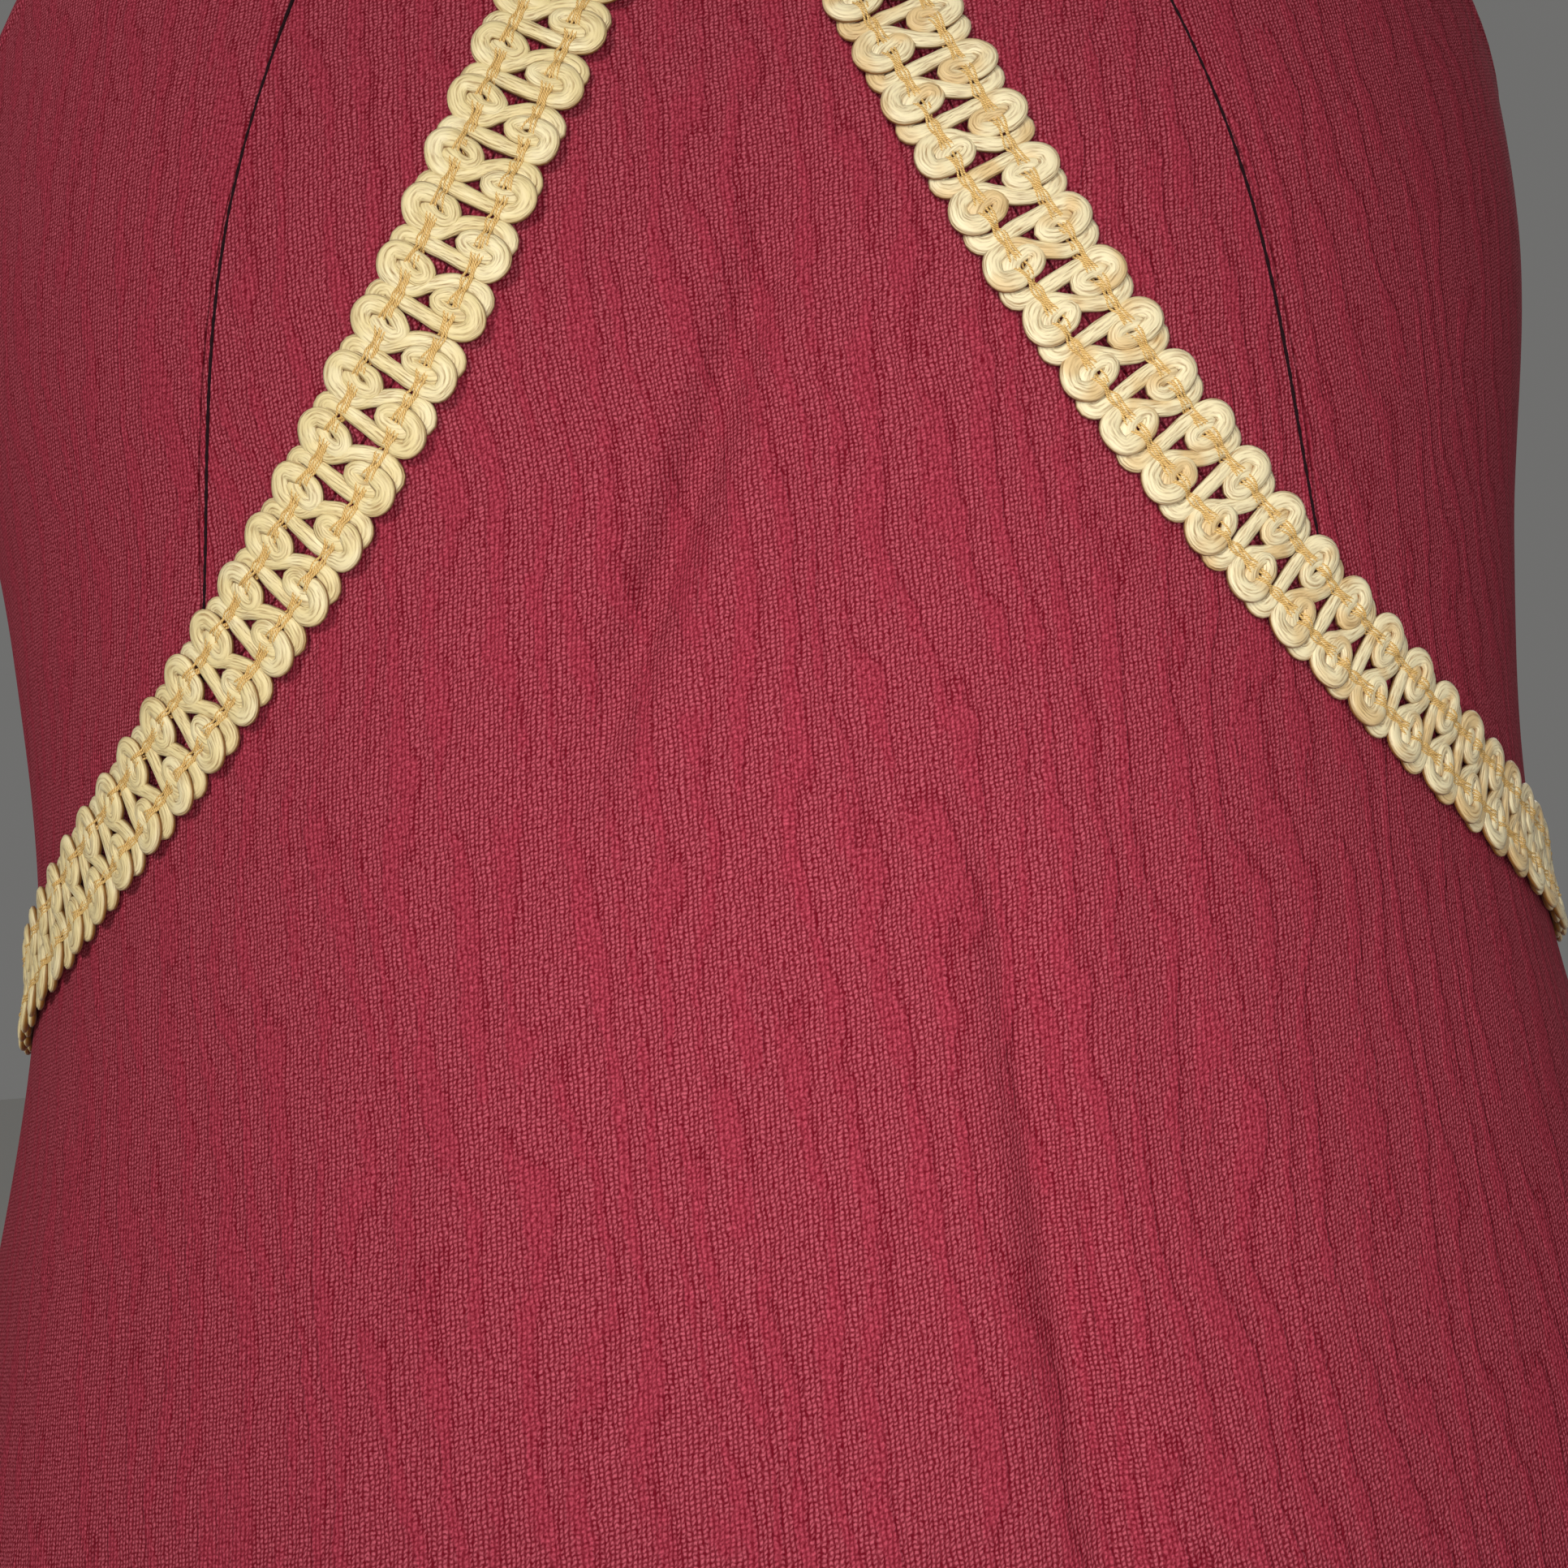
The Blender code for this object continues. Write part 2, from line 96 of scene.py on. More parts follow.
# Creases of the front: girth in millimetres and height at the top, the same at the bottom,
# half width and depth in millimetres. A negative depth is a ridge.
FRONT_CREASES = (
    # The slanting fold below the peak, its foot, a fold beside it and its ridge
    (12.5, -0.260, -30, -0.360, 4.4, 4.6),
    (-22, -0.326, -40, -0.382, 6.0, 0.9),
    (-7, -0.284, -27, -0.324, 2.6, 0.5),
    (13, -0.284, -14, -0.350, 7.0, -0.8),
    # The long fold at the right, its deep middle and its ridge
    (30, -0.356, 33.5, -0.478, 4.0, 3.7),
    (31, -0.392, 34, -0.515, 7.0, 0.9),
    (38, -0.368, 40, -0.520, 6.0, -1.0),
    # Left and middle
    (-43, -0.346, -60, -0.430, 7.0, 0.9),
    (-56, -0.356, -39, -0.470, 8.0, -0.6),
    (-2, -0.296, 10, -0.388, 5.5, -0.9),
    (2, -0.362, -3, -0.480, 5.0, 1.5),
    # Small creases
    (21, -0.295, 25, -0.352, 3.2, 0.35),
    (33, -0.318, 38, -0.366, 3.4, 0.35),
    (-13, -0.225, -19, -0.290, 3.0, 0.35),
    (52, -0.352, 60, -0.470, 6.0, 0.9),
    (-20, -0.390, -24, -0.480, 6.0, 0.6),
)

# The seam under the braid: a small arc at the peak, a straight flank, a wide arc to the side
PEAK_RADIUS = 12 * MM
FLANK_SLOPE = math.radians(67.7)
SIDE_RADIUS = 206 * MM

# Princess seams: girth at the neckline and at the braid, and how far they bow outwards
PRINCESS_TOP = 56 * MM
PRINCESS_END = 90 * MM
PRINCESS_BOW = 2 * MM
SIDE_FRONT_LEAN = math.radians(8)

# Straps
STRAP_INNER = 58 * MM
STRAP_WIDTH = 40 * MM
STRAP_BACK_INNER = 48 * MM
STRAP_SHOULDER_INNER = 66 * MM
SHOULDER_SLOPE = math.radians(16)
STRAP_CROWN = 1.2 * MM
STRAP_WALL = 1.5 * MM
# How far a strap keeps its direction at the front, over the shoulder and at the back
STRAP_RUNS = (0.085, 0.052, 0.100)

# Sewing: how far a seam draws the edge in and over what width, and the turned edges
SEAM_DRAW = 0.75 * MM
SEAM_DRAW_WIDTH = 1.3 * MM
SEAM_LAP = 0.25 * MM
PUCKER_DEPTH = 0.22 * MM
EDGE_TURN = 7 * MM
HEM_TURN = 24 * MM
TURN_THICKNESS = 0.35 * MM
STITCH_GROOVE = 0.45 * MM
STITCH_INSET = 1.2 * MM
STITCH_LENGTH = 2.6 * MM
STITCH_PITCH = 3.6 * MM
STITCH_THREAD = 0.32 * MM

# Deep in the seams: the near-black line of painted shade in each princess seam, its place beside
# the seam and its width; the side seams' stitching, its extra width and thickness
PRINCESS_SHADOW_ASIDE = 0.55 * MM
PRINCESS_SHADOW_WIDTH = 0.62 * MM
SIDE_STITCH_HOLD = 0.5 * MM
SIDE_STITCH_THICKNESS = 0.7 * MM

# Scroll braid, in millimetres: the repeat, the binding rows and the cord's sizes
REPEAT = 9.1
BIND_ROW = 4.2
CORD_WIDTH = 2.6
SCROLL_WIDTH = 3.15
CORD_THICKNESS = 1.65
SCROLL_THICKNESS = 1.45
PINCH = 0.24
PINCH_REACH = 0.85
CORD_ROUND = 6.6
CORD_STEP = 0.5
CORD_SIDES = 10
THREADS_PER_ROW = 4
THREAD_WIDTH = 0.37
THREAD_SPACING = 0.50
THREAD_STEP = 0.5
THREAD_SIDES = 6
BRAID_SEAT = 0.2

# One scroll of the cord, in millimetres: along the braid, out from its middle, height of
# its middle above the cloth. The cord comes over from the other row, turns round the main
# lobe and the head below it, rises into the eye, and leaves underneath by a smaller lobe.
SCROLL = (
    (0.0, 4.2, 1.00),
    (0.2, 5.95, 1.15),
    (0.95, 7.35, 1.40),
    (2.4, 8.0, 1.65),
    (3.7, 7.4, 1.80),
    (4.25, 5.9, 1.75),
    (4.3, 4.1, 1.50),
    (3.85, 2.3, 1.40),
    (2.75, 1.35, 1.35),
    (1.85, 2.3, 1.35),
    (1.95, 4.1, 1.30),
    (2.5, 5.5, 1.30),
    (3.3, 6.2, 0.80),
    (4.3, 7.1, 0.65),
    (5.4, 7.7, 0.75),
    (6.4, 7.1, 0.90),
    (6.8, 5.6, 1.00),
    (6.65, 4.1, 1.00),
)
# Middle of the crossing that leads from one scroll to the one on the other row
CROSSING = ((6.2, 2.7, 1.05), (5.0, 0.6, 1.10), (3.6, -1.2, 1.05), (2.35, -2.7, 1.00))
SCROLL_SHIFT = 1.75
SCROLL_STRETCH = 1.11
EYE = 2.6

# Each leg of the braid, in millimetres: its repeat, where one repeat starts, how far its
# outer row runs ahead of its inner one, and how far it lies towards the bodice
LEGS = {
    "left": (9.03, 89.6, -1.1, 0.0),
    "right": (9.2, 91.2, 0.0, -0.3),
}
UNEVEN = 0.22
LEG_START = 1.5

# The camera's place and lean, and its angle of view
CAMERA_PLACE = (0.0011, -0.3696, -0.3554)
CAMERA_ROLL = math.radians(4.34)
CAMERA_RISE = math.radians(0.12)
ANGLE_OF_VIEW = math.radians(50)
FLOOR_BELOW_HEM = 0.24

# Soft lights: name, place, aim, size, power, colour and spread in degrees
LIGHTS = (
    ("soft_light_left", (-0.68, -1.60, 0.40), (0.0, -0.10, -0.45), 0.45, 16.0,
     (1.0, 0.98, 0.95), 180),
    ("soft_light_front", (0.032, -0.378, -0.355), (0.010, -0.14, -0.364), 0.16, 0.235,
     (1.0, 0.99, 0.98), 130),
    ("soft_light_low", (0.45, -1.90, -1.00), (0.0, -0.30, -1.00), 0.60, 1.2,
     (1.0, 0.98, 0.95), 180),
    ("soft_light_behind", (0.8, 1.8, 0.6), (0.0, 0.0, -0.6), 1.4, 22.0,
     (1.0, 0.99, 0.98), 180),
)


# The form of the filled-out dress


def bell(distance, width):
    """1 in the middle, falling off softly on both sides over the given half width."""
    return np.exp(-((distance / width) ** 2))


def section_size(height, column):
    """One size of the form at each height, on a smooth curve through the sections."""
    table = np.array(SECTIONS)[::-1]
    levels = table[:, 0]
    sizes = table[:, column]
    slopes = np.gradient(sizes, levels)
    height = np.clip(height, levels[0], levels[-1])
    below = np.clip(np.searchsorted(levels, height, side="right") - 1, 0, len(levels) - 2)
    span = levels[below + 1] - levels[below]
    t = (height - levels[below]) / span
    return (
        (2 * t**3 - 3 * t**2 + 1) * sizes[below]
        + (t**3 - 2 * t**2 + t) * span * slopes[below]
        + (-2 * t**3 + 3 * t**2) * sizes[below + 1]
        + (t**3 - t**2) * span * slopes[below + 1]
    )


def form_radius(turn, height):
    """Distance from the dress's axis. turn is 0 at the centre front, half a turn behind."""
    half_width = section_size(height, 1)
    depth = np.where(np.cos(turn) >= 0, section_size(height, 2), section_size(height, 3))
    across = np.abs(np.sin(turn)) / half_width
    along = np.abs(np.cos(turn)) / depth
    return (across**ROUNDNESS + along**ROUNDNESS) ** (-1 / ROUNDNESS)


def flute_wave(turn):
    """The flutes round the skirt, from -1 in a trough to 1 on a ridge, uneven in spacing."""
    phase = FLUTES * turn + 0.55 * np.sin(3 * turn) + 0.35 * np.sin(5 * turn) * np.sin(turn)
    return (np.cos(phase) + 0.18 * np.cos(2 * phase)) / 1.18


def flute_offset(turn, height):
    """How far a flute stands out from the form. Flutes start at the raised waist and deepen."""
    depth = np.clip((WAIST - height) / (WAIST - HEM), 0, None) ** FLUTE_GROWTH
    varied = 1 + 0.22 * np.sin(3 * turn + 1.1) + 0.14 * np.sin(7 * turn + 2.4)
    return FLUTE_DEPTH * depth * varied * flute_wave(turn)


def crease_offset(turn, height):
    """How far the creases of the front sink in, each fading out at its ends."""
    girth = np.sign(turn) * np.interp(np.abs(turn), QUARTER_TURNS, FRONT_GIRTHS)
    sunk = np.zeros_like(girth)
    for top_girth, top, bottom_girth, bottom, half_width, depth in FRONT_CREASES:
        share = np.clip((top - height) / (top - bottom), 0, 1)
        middle = (top_girth + (bottom_girth - top_girth) * share) * MM
        fade = np.sin(math.pi * share) ** 0.8
        sunk = sunk + depth * MM * fade * bell(girth - middle, half_width * MM)
    return -sunk


def bust_offset(x, height, turn):
    """Fullness of the bodice front, let in by the princess seams."""
    reach = BUST_REACH**2
    left = np.exp(-((x + BUST_OUT) ** 2 + (height - BUST_HEIGHT) ** 2) / (2 * reach))
    right = np.exp(-((x - BUST_OUT) ** 2 + (height - BUST_HEIGHT) ** 2) / (2 * reach))
    return BUST_FULLNESS * (left + right) * np.clip(np.cos(turn), 0, None)


def skin(turn, height):
    """Points on the outside of the cloth."""
    radius = form_radius(turn, height)
    radius = radius + flute_offset(turn, height)
    radius = radius + crease_offset(turn, height)
    radius = radius + bust_offset(radius * np.sin(turn), height, turn)
    return np.stack([radius * np.sin(turn), -radius * np.cos(turn), height], axis=-1)


def unit(vectors):
    return vectors / np.linalg.norm(vectors, axis=-1, keepdims=True)


def distances_along(line):
    """Distance of each point of a line from its first point."""
    return np.concatenate([[0.0], np.cumsum(np.linalg.norm(np.diff(line, axis=0), axis=1))])


def skin_normal(turn, height):
    """Outward directions of the cloth."""
    step = 1e-4
    round_it = skin(turn + step, height) - skin(turn - step, height)
    up_it = skin(turn, height + step) - skin(turn, height - step)
    return unit(np.cross(round_it, up_it))


def girth_tables(height):
    """Turns against girth at one height, for the front and the back."""
    steps = np.linspace(0, math.pi / 2, 600)
    tables = []
    for start, sign in ((0.0, 1.0), (math.pi, -1.0)):
        turns = start + sign * steps
        radius = form_radius(turns, np.full_like(turns, height))
        points = np.stack([radius * np.sin(turns), -radius * np.cos(turns)], axis=-1)
        tables.append((distances_along(points), steps))
    return tables


def seam_run(front_girth):
    """Length of the straight flank, and how far the seam falls from the peak to the side."""
    rise = math.cos(FLANK_SLOPE)
    flank = (front_girth - (PEAK_RADIUS + SIDE_RADIUS) * math.sin(FLANK_SLOPE)) / rise
    fall = (PEAK_RADIUS + SIDE_RADIUS) * (1 - rise) + flank * math.sin(FLANK_SLOPE)
    return flank, fall


WAIST = SECTIONS[5][0]
(FRONT_GIRTHS, QUARTER_TURNS), (BACK_GIRTHS, _) = girth_tables(WAIST)
HALF_FRONT = float(FRONT_GIRTHS[-1])
HALF_BACK = float(BACK_GIRTHS[-1])
FLANK, SEAM_FALL = seam_run(HALF_FRONT)
SIDE_SEAM_HEIGHT = PEAK - SEAM_FALL
SEAM_LENGTH = (PEAK_RADIUS + SIDE_RADIUS) * FLANK_SLOPE + FLANK


def front_turn(girth):
    return np.sign(girth) * np.interp(np.abs(girth), FRONT_GIRTHS, QUARTER_TURNS)


def back_turn(girth):
    """Girth is from the centre back, positive towards +X."""
    return math.pi - np.sign(girth) * np.interp(np.abs(girth), BACK_GIRTHS, QUARTER_TURNS)


def seam_place(distance):
    """Girth, fall from the peak and slope of the braided seam, at a distance along it."""
    distance = np.asarray(distance, float)
    first = PEAK_RADIUS * FLANK_SLOPE
    second = first + FLANK
    on_peak = np.clip(distance / PEAK_RADIUS, 0, FLANK_SLOPE)
    on_flank = np.clip(distance - first, 0, FLANK)
    on_side = FLANK_SLOPE - np.clip((distance - second) / SIDE_RADIUS, 0, FLANK_SLOPE)
    slope = np.where(distance < first, on_peak, np.where(distance < second, FLANK_SLOPE, on_side))
    girth = (
        PEAK_RADIUS * np.sin(on_peak)
        + on_flank * math.cos(FLANK_SLOPE)
        + SIDE_RADIUS * (math.sin(FLANK_SLOPE) - np.sin(on_side))
    )
    fall = (
        PEAK_RADIUS * (1 - np.cos(on_peak))
        + on_flank * math.sin(FLANK_SLOPE)
        + SIDE_RADIUS * (np.cos(on_side) - math.cos(FLANK_SLOPE))
    )
    return girth, fall, slope


def seam_distance(girth):
    """Distance along the braided seam at which it reaches a girth."""
    distances = np.linspace(0, SEAM_LENGTH, 2000)
    return np.interp(girth, seam_place(distances)[0], distances)


def seam_edge(girth, side):
    """Girth and height of an edge at the braided seam: side is 1 for skirt, -1 for bodice."""
    place, fall, slope = seam_place(seam_distance(np.abs(girth)))
    gap = side * SEAM_GAP / 2
    edge = np.clip(place - gap * np.sin(slope), 0, None)
    return np.sign(girth) * edge, PEAK - fall - gap * np.cos(slope)


# Small helpers


def linear(hex_colour):
    """An sRGB hex colour as linear red, green, blue and alpha."""
    parts = [int(hex_colour[i : i + 2], 16) / 255 for i in (1, 3, 5)]
    parts = [c / 12.92 if c <= 0.04045 else ((c + 0.055) / 1.055) ** 2.4 for c in parts]
    return (*parts, 1.0)


def fill(tree, made, inputs):
    """Gives a node its inputs, by name or in the order of its sockets in use. Each is a plain
    value, a hex colour or another node's output."""
    in_use = [socket for socket in made.inputs if socket.enabled]
    for key, value in inputs.items() if isinstance(inputs, dict) else enumerate(inputs):
        socket = made.inputs[key] if isinstance(key, str) else in_use[key]
        if isinstance(value, bpy.types.NodeSocket):
            tree.links.new(value, socket)
        else:
            socket.default_value = linear(value) if isinstance(value, str) else value


def node(tree, kind, inputs=(), **settings):
    """Adds a node with its settings and inputs, and gives its first output in use."""
    made = tree.nodes.new(f"ShaderNode{kind}")
    for key, value in settings.items():
        setattr(made, key, value)
    fill(tree, made, inputs)
    return next(socket for socket in made.outputs if socket.enabled)


def mesh_object(name, points, faces, coordinates, finish, slot):
    """A piece from its points and faces, with a UV map in metres along cloth or cord."""
    mesh = bpy.data.meshes.new(name)
    mesh.from_pydata(points.tolist(), [], faces)
    layer = mesh.uv_layers.new(name="grain")
    layer.data.foreach_set("uv", coordinates.astype(np.float32).ravel())
    mesh.shade_smooth()
    mesh.set_sharp_from_angle(angle=math.radians(60))
    mesh.materials.append(finish)
    made = bpy.data.objects.new(name, mesh)
    bpy.context.scene.collection.objects.link(made)
    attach(made, "root")
    return made


# Finishes


# A Map Range node's soft rise from 0 to 1, between the two values that follow its input
SOFT = {"interpolation_type": "SMOOTHSTEP"}


def weighted(tree, total, *terms):
    """A pattern summed from a first value and from other patterns, each times its weight."""
    for pattern, weight in terms:
        total = node(tree, "Math", (pattern, weight, total), operation="MULTIPLY_ADD")
    return total


def wave(tree, place, length=1.0, shift=0.0):
    """A pattern of soft stripes, from -1 to 1, one to each length."""
    turns = node(tree, "Math", (place, math.tau / length, shift), operation="MULTIPLY_ADD")
    return node(tree, "Math", (turns,), operation="COSINE")


def uneven(tree, grain, across, along, detail, roughness=0.5):
    """A pattern of soft patches about 0.5, so many to the metre across and along the grain."""
    place = node(tree, "Mapping", {"Vector": grain, "Scale": (across, along, 1)})
    sizes = {"Scale": 1.0, "Detail": detail, "Roughness": roughness}
    return node(tree, "TexNoise", {"Vector": place, **sizes})


def new_finish(name):
    """A material, with its node tree, its shader and the UV map that follows cloth or cord."""
    made = bpy.data.materials.new(name)
    made.use_nodes = True
    tree = made.node_tree
    return made, tree, tree.nodes["Principled BSDF"], node(tree, "UVMap", uv_map="grain")


def crepe_knit():
    """Polyester crepe knit, burgundy and dull: fine upright ribs of small slanting stitches.
    Slightly raised crimson ribbons of closer stitches wander down the cloth. The knit between
    them is duller and more open, with pinkish stitches and dark pores. The stitches are drawn
    a little coarser than real ones, so that they show."""
    wale = 0.70 * MM
    course = 0.62 * MM
    ribbon = 7.0 * MM
    made, tree, shader, grain = new_finish("polyester_crepe_knit")
    across = node(tree, "SeparateXYZ", (grain,))
    down = across.node.outputs["Y"]

    # The ribbons wander, lean a little, and swell and break off unevenly
    bend = uneven(tree, grain, 48, 17, 3)
    ribbons = weighted(tree, 0.0, (bend, 4.4), (down, -0.09 / ribbon), (across, 1 / ribbon))
    swell = uneven(tree, grain, 150, 46, 4, 0.68)
    frayed = uneven(tree, grain, 950, 430, 2, 0.6)
    patches = weighted(tree, 0.0, (swell, 2.6), (frayed, 0.55))
    raised, beside = (
        node(tree, "MapRange", (weighted(tree, patches, (stripes, 0.42)), 1.60, 1.98), **SOFT)
        for stripes in (wave(tree, ribbons), wave(tree, ribbons, 1.0, -0.4))
    )
    # Painted shadow: a dark line along one side of each raised ribbon
    painted_ribbon_shadow = node(tree, "Math", (weighted(tree, beside, (raised, -1.0)), 0.0), operation="MAXIMUM")

    # Ribs, drifting with uneven yarn tension, and stitches that slant across each rib
    tension = uneven(tree, grain, 240, 90, 3, 0.6)
    jitter = uneven(tree, grain, 700, 900, 1)
    ribs = weighted(tree, 0.0, (tension, 2.2), (jitter, 0.8), (across, 1 / wale))
    rib_side = node(tree, "Math", (weighted(tree, 0.5, (ribs, 1.0)),), operation="FRACT")
    lag = uneven(tree, grain, 1400, 380, 1)
    rows = weighted(tree, 0.0, (ribs, 0.24), (lag, 1.25), (rib_side, 0.3), (down, 1 / course))
    rib = node(tree, "MapRange", (wave(tree, ribs), -1.0, 0.5), **SOFT)
    row = node(tree, "MapRange", (wave(tree, rows), -0.85, 0.65), **SOFT)
    stitch = node(tree, "Math", (rib, row), operation="MULTIPLY")
    speck = weighted(tree, -0.5, (uneven(tree, grain, 1500, 1500, 2, 0.7), 1.0))

    # Lightness: more even in the ribbons, and a painted shadow line beside each of them
    open_light = weighted(tree, 0.18, (rib, 0.12), (stitch, 0.43), (painted_ribbon_shadow, -0.24), (speck, 1.0))
    ribbon_light = weighted(tree, 0.25, (rib, 0.10), (stitch, 0.26), (speck, 1.0))
    colours = [raised]
    for lightness, dark, light in (
        (open_light, "#690619", "#c35a6a"),
        (ribbon_light, "#6b061a", "#c85165"),
    ):
        share = node(tree, "MapRange", (lightness, 0.0, 1.0), **SOFT)
        colours.append(node(tree, "Mix", (share, dark, light), data_type="RGBA"))

    # Relief: the ribbons stand up by about 0.2 mm, the stitches by less than half of it
    relief = weighted(tree, 0.0, (stitch, 0.22), (rib, 0.16), (raised, 0.85))
    normal = node(tree, "Bump", {"Strength": 0.8, "Distance": 0.26 * MM, "Height": relief})
    fill(tree, shader, {
        "Base Color": node(tree, "Mix", colours, data_type="RGBA"), "Normal": normal,
        "Roughness": 0.92, "Specular IOR Level": 0.1,
    })
    return made


def satin_cord(name, hollows, ground, patches):
    """Rayon satin cord: soft, with a silky shine, and fine filaments that run along it. Real
    filaments are too fine to show, so they are drawn 0.42 mm apart, as their bundles look."""
    bundle = 0.42 * MM
    made, tree, shader, grain = new_finish(name)
    along = node(tree, "SeparateXYZ", (grain,))
    round_it = along.node.outputs["Y"]
    drift = uneven(tree, grain, 330, 600, 2)
    lines = weighted(tree, 0.0, (drift, 3.0 * bundle), (along, 0.09), (round_it, 1.0))
    filaments = uneven(tree, grain, 300, 3000, 2)
    filaments = weighted(tree, filaments, (wave(tree, lines, bundle), 0.06))
    filaments = node(tree, "MapRange", (filaments, 0.06, 0.62), **SOFT)
    patch = uneven(tree, grain, 170, 170, 1)
    patch = node(tree, "MapRange", (patch, 0.48, 0.66), **SOFT)
    tone = node(tree, "Mix", (patch, ground, patches), data_type="RGBA")
    tone = node(tree, "Mix", (filaments, hollows, tone), data_type="RGBA")
    # Painted shade: a darker brown on the flanks, where the cord turns under into its own shadow
    aside = weighted(tree, -0.5, (round_it, 1 / (CORD_ROUND * MM)))
    aside = node(tree, "Math", (aside,), operation="ABSOLUTE")
    flank = node(tree, "MapRange", (aside, 0.15, 0.27), **SOFT)
    tone = node(tree, "Mix", (flank, tone, "#8a5c22"), data_type="RGBA")
    normal = node(tree, "Bump", {"Strength": 0.9, "Distance": 0.14 * MM, "Height": filaments})
    fill(tree, shader, {
        "Base Color": tone, "Normal": normal, "Roughness": 0.42, "Specular IOR Level": 0.42,
        "Sheen Weight": 0.08, "Sheen Roughness": 0.35,
    })
    return made


def twisted_thread(name, hollows, ground, roughness):
    """Two-ply sewing thread: slanting plies in a lighter and a darker tone, drawn 0.45 mm
    apart, a little coarser than real ones, so that they show."""
    ply = 0.45 * MM
    made, tree, shader, grain = new_finish(name)
    along = node(tree, "SeparateXYZ", (grain,))
    slant = weighted(tree, along, (along.node.outputs["Y"], 1.0))
    plies = weighted(tree, 0.5, (wave(tree, slant, ply, -math.pi / 2), 0.5))
    tone = node(tree, "Mix", (plies, hollows, ground), data_type="RGBA")
    normal = node(tree, "Bump", {"Strength": 0.5, "Distance": 0.05 * MM, "Height": plies})
    fill(tree, shader, {
        "Base Color": tone, "Normal": normal, "Roughness": roughness, "Specular IOR Level": 0.2,
    })
    return made


# Cloth pieces


def wall_faces(rows, columns):
    """Faces of a closed sheet of two grids, outside then inside, and its rim."""
    count = rows * columns
    r, c = np.meshgrid(np.arange(rows - 1), np.arange(columns - 1), indexing="ij")
    a = (r * columns + c).ravel()
    outside = np.stack([a, a + columns, a + columns + 1, a + 1], axis=1)
    inside = np.stack([a, a + 1, a + columns + 1, a + columns], axis=1) + count
    rim = [(0, k) for k in range(columns)]
    rim += [(k, columns - 1) for k in range(1, rows)]
    rim += [(rows - 1, k) for k in range(columns - 2, -1, -1)]
    rim += [(k, 0) for k in range(rows - 2, 0, -1)]
    rim = np.array([k * columns + m for k, m in rim])
    there = np.roll(rim, -1)
    edge = np.stack([rim, there, there + count, rim + count], axis=1)
    return np.concatenate([outside, inside, edge])


def cloth_shell(name, outside, normals, grain, finish, thickness=CLOTH):
    """A thin closed shell of cloth from a grid of points on its outside, top row first."""
    rows, columns = outside.shape[:2]
    inside = outside - thickness * normals
    points = np.concatenate([outside.reshape(-1, 3), inside.reshape(-1, 3)])
    faces = wall_faces(rows, columns)
    flat = grain.reshape(-1, 2)
    coordinates = np.concatenate([flat, flat])[faces.ravel()]
    return mesh_object(name, points, faces.tolist(), coordinates, finish, "burgundy_crepe")


def piece_on_form(name, turns, heights, lift, finish, middle=0.0, lean=0.0):
    """A cut piece on the form, from its grid of places and how far each lies off the form."""
    normals = skin_normal(turns, heights)
    points = skin(turns, heights) + lift[..., None] * normals
    return cloth_shell(name, points, normals, grain_of(turns, heights, middle, lean), finish)


def column_length(height):
    """Distance down the cloth from the shoulders to a height."""
    levels = np.linspace(0, -1.3, 400)
    depth = section_size(levels, 2)
    steps = np.hypot(np.diff(levels), np.diff(depth))
    return np.interp(-height, -levels, np.concatenate([[0.0], np.cumsum(steps)]))


def grain_of(turn, height, middle=0.0, lean=0.0):
    """UV map in metres: round the cloth from the turn at its middle, and down it. It may lean."""
    steps = middle + (turn - middle)[..., None] * np.linspace(0, 1, 40)
    points = skin(steps, np.broadcast_to(height[..., None], steps.shape))
    lengths = np.linalg.norm(np.diff(points, axis=-2), axis=-1).sum(axis=-1)
    across = np.sign(turn - middle) * lengths
    down = column_length(height)
    leant_across = across * math.cos(lean) - down * math.sin(lean)
    leant_down = across * math.sin(lean) + down * math.cos(lean)
    return np.stack([leant_across, leant_down], axis=-1)


def drawn_seam(distance, along):
    """How far cloth lies in beside a seam: a narrow groove, with small uneven puckers."""
    groove = SEAM_DRAW * bell(distance, SEAM_DRAW_WIDTH)
    sway = np.sin(along / (9 * MM) * math.tau + 1.3 * np.sin(along / (31 * MM) * math.tau))
    pucker = PUCKER_DEPTH * (0.5 + 0.5 * sway) * np.exp(-distance / (7 * MM))
    return -(groove + pucker)


def turned_edge(distance, width):
    """A turned and stitched edge: a little thicker up to its stitches, and drawn in there."""
    raised = TURN_THICKNESS / (1 + np.exp((distance - width) / (0.5 * MM)))
    rolled = 0.5 * MM * bell(distance, 0.9 * MM)
    groove = STITCH_GROOVE * bell(distance - width + STITCH_INSET, 0.7 * MM)
    return raised - rolled - groove


def below_braid(girth, fall):
    """Fine upright puckers that the braided seam leaves in the cloth below it."""
    _, seam_fall, _ = seam_place(seam_distance(np.abs(girth)))
    below = np.clip(fall - seam_fall, 0, None)
    large = np.sin(girth / (5.6 * MM) * math.tau + 1.7 * np.sin(girth / (23 * MM) * math.tau))
    sway = 2.1 * np.sin(girth / (17 * MM) * math.tau + 0.6)
    small = np.sin(girth / (3.1 * MM) * math.tau + sway)
    return (0.13 * MM * large + 0.06 * MM * small) * np.exp(-below / (60 * MM))


def spread(*runs):
    """Values from run to run: each run is its end and its step, after the first start."""
    values = [runs[0]]
    for end, step in runs[1:]:
        count = max(1, round(abs(end - values[-1]) / step))
        values.extend(np.linspace(values[-1], end, count + 1)[1:])
    return np.array(values)


def hem_height(turn):
    """The hem lifts a little where a ridge carries it outwards."""
    return HEM + HEM_LIFT * (1 + flute_wave(turn)) / 2


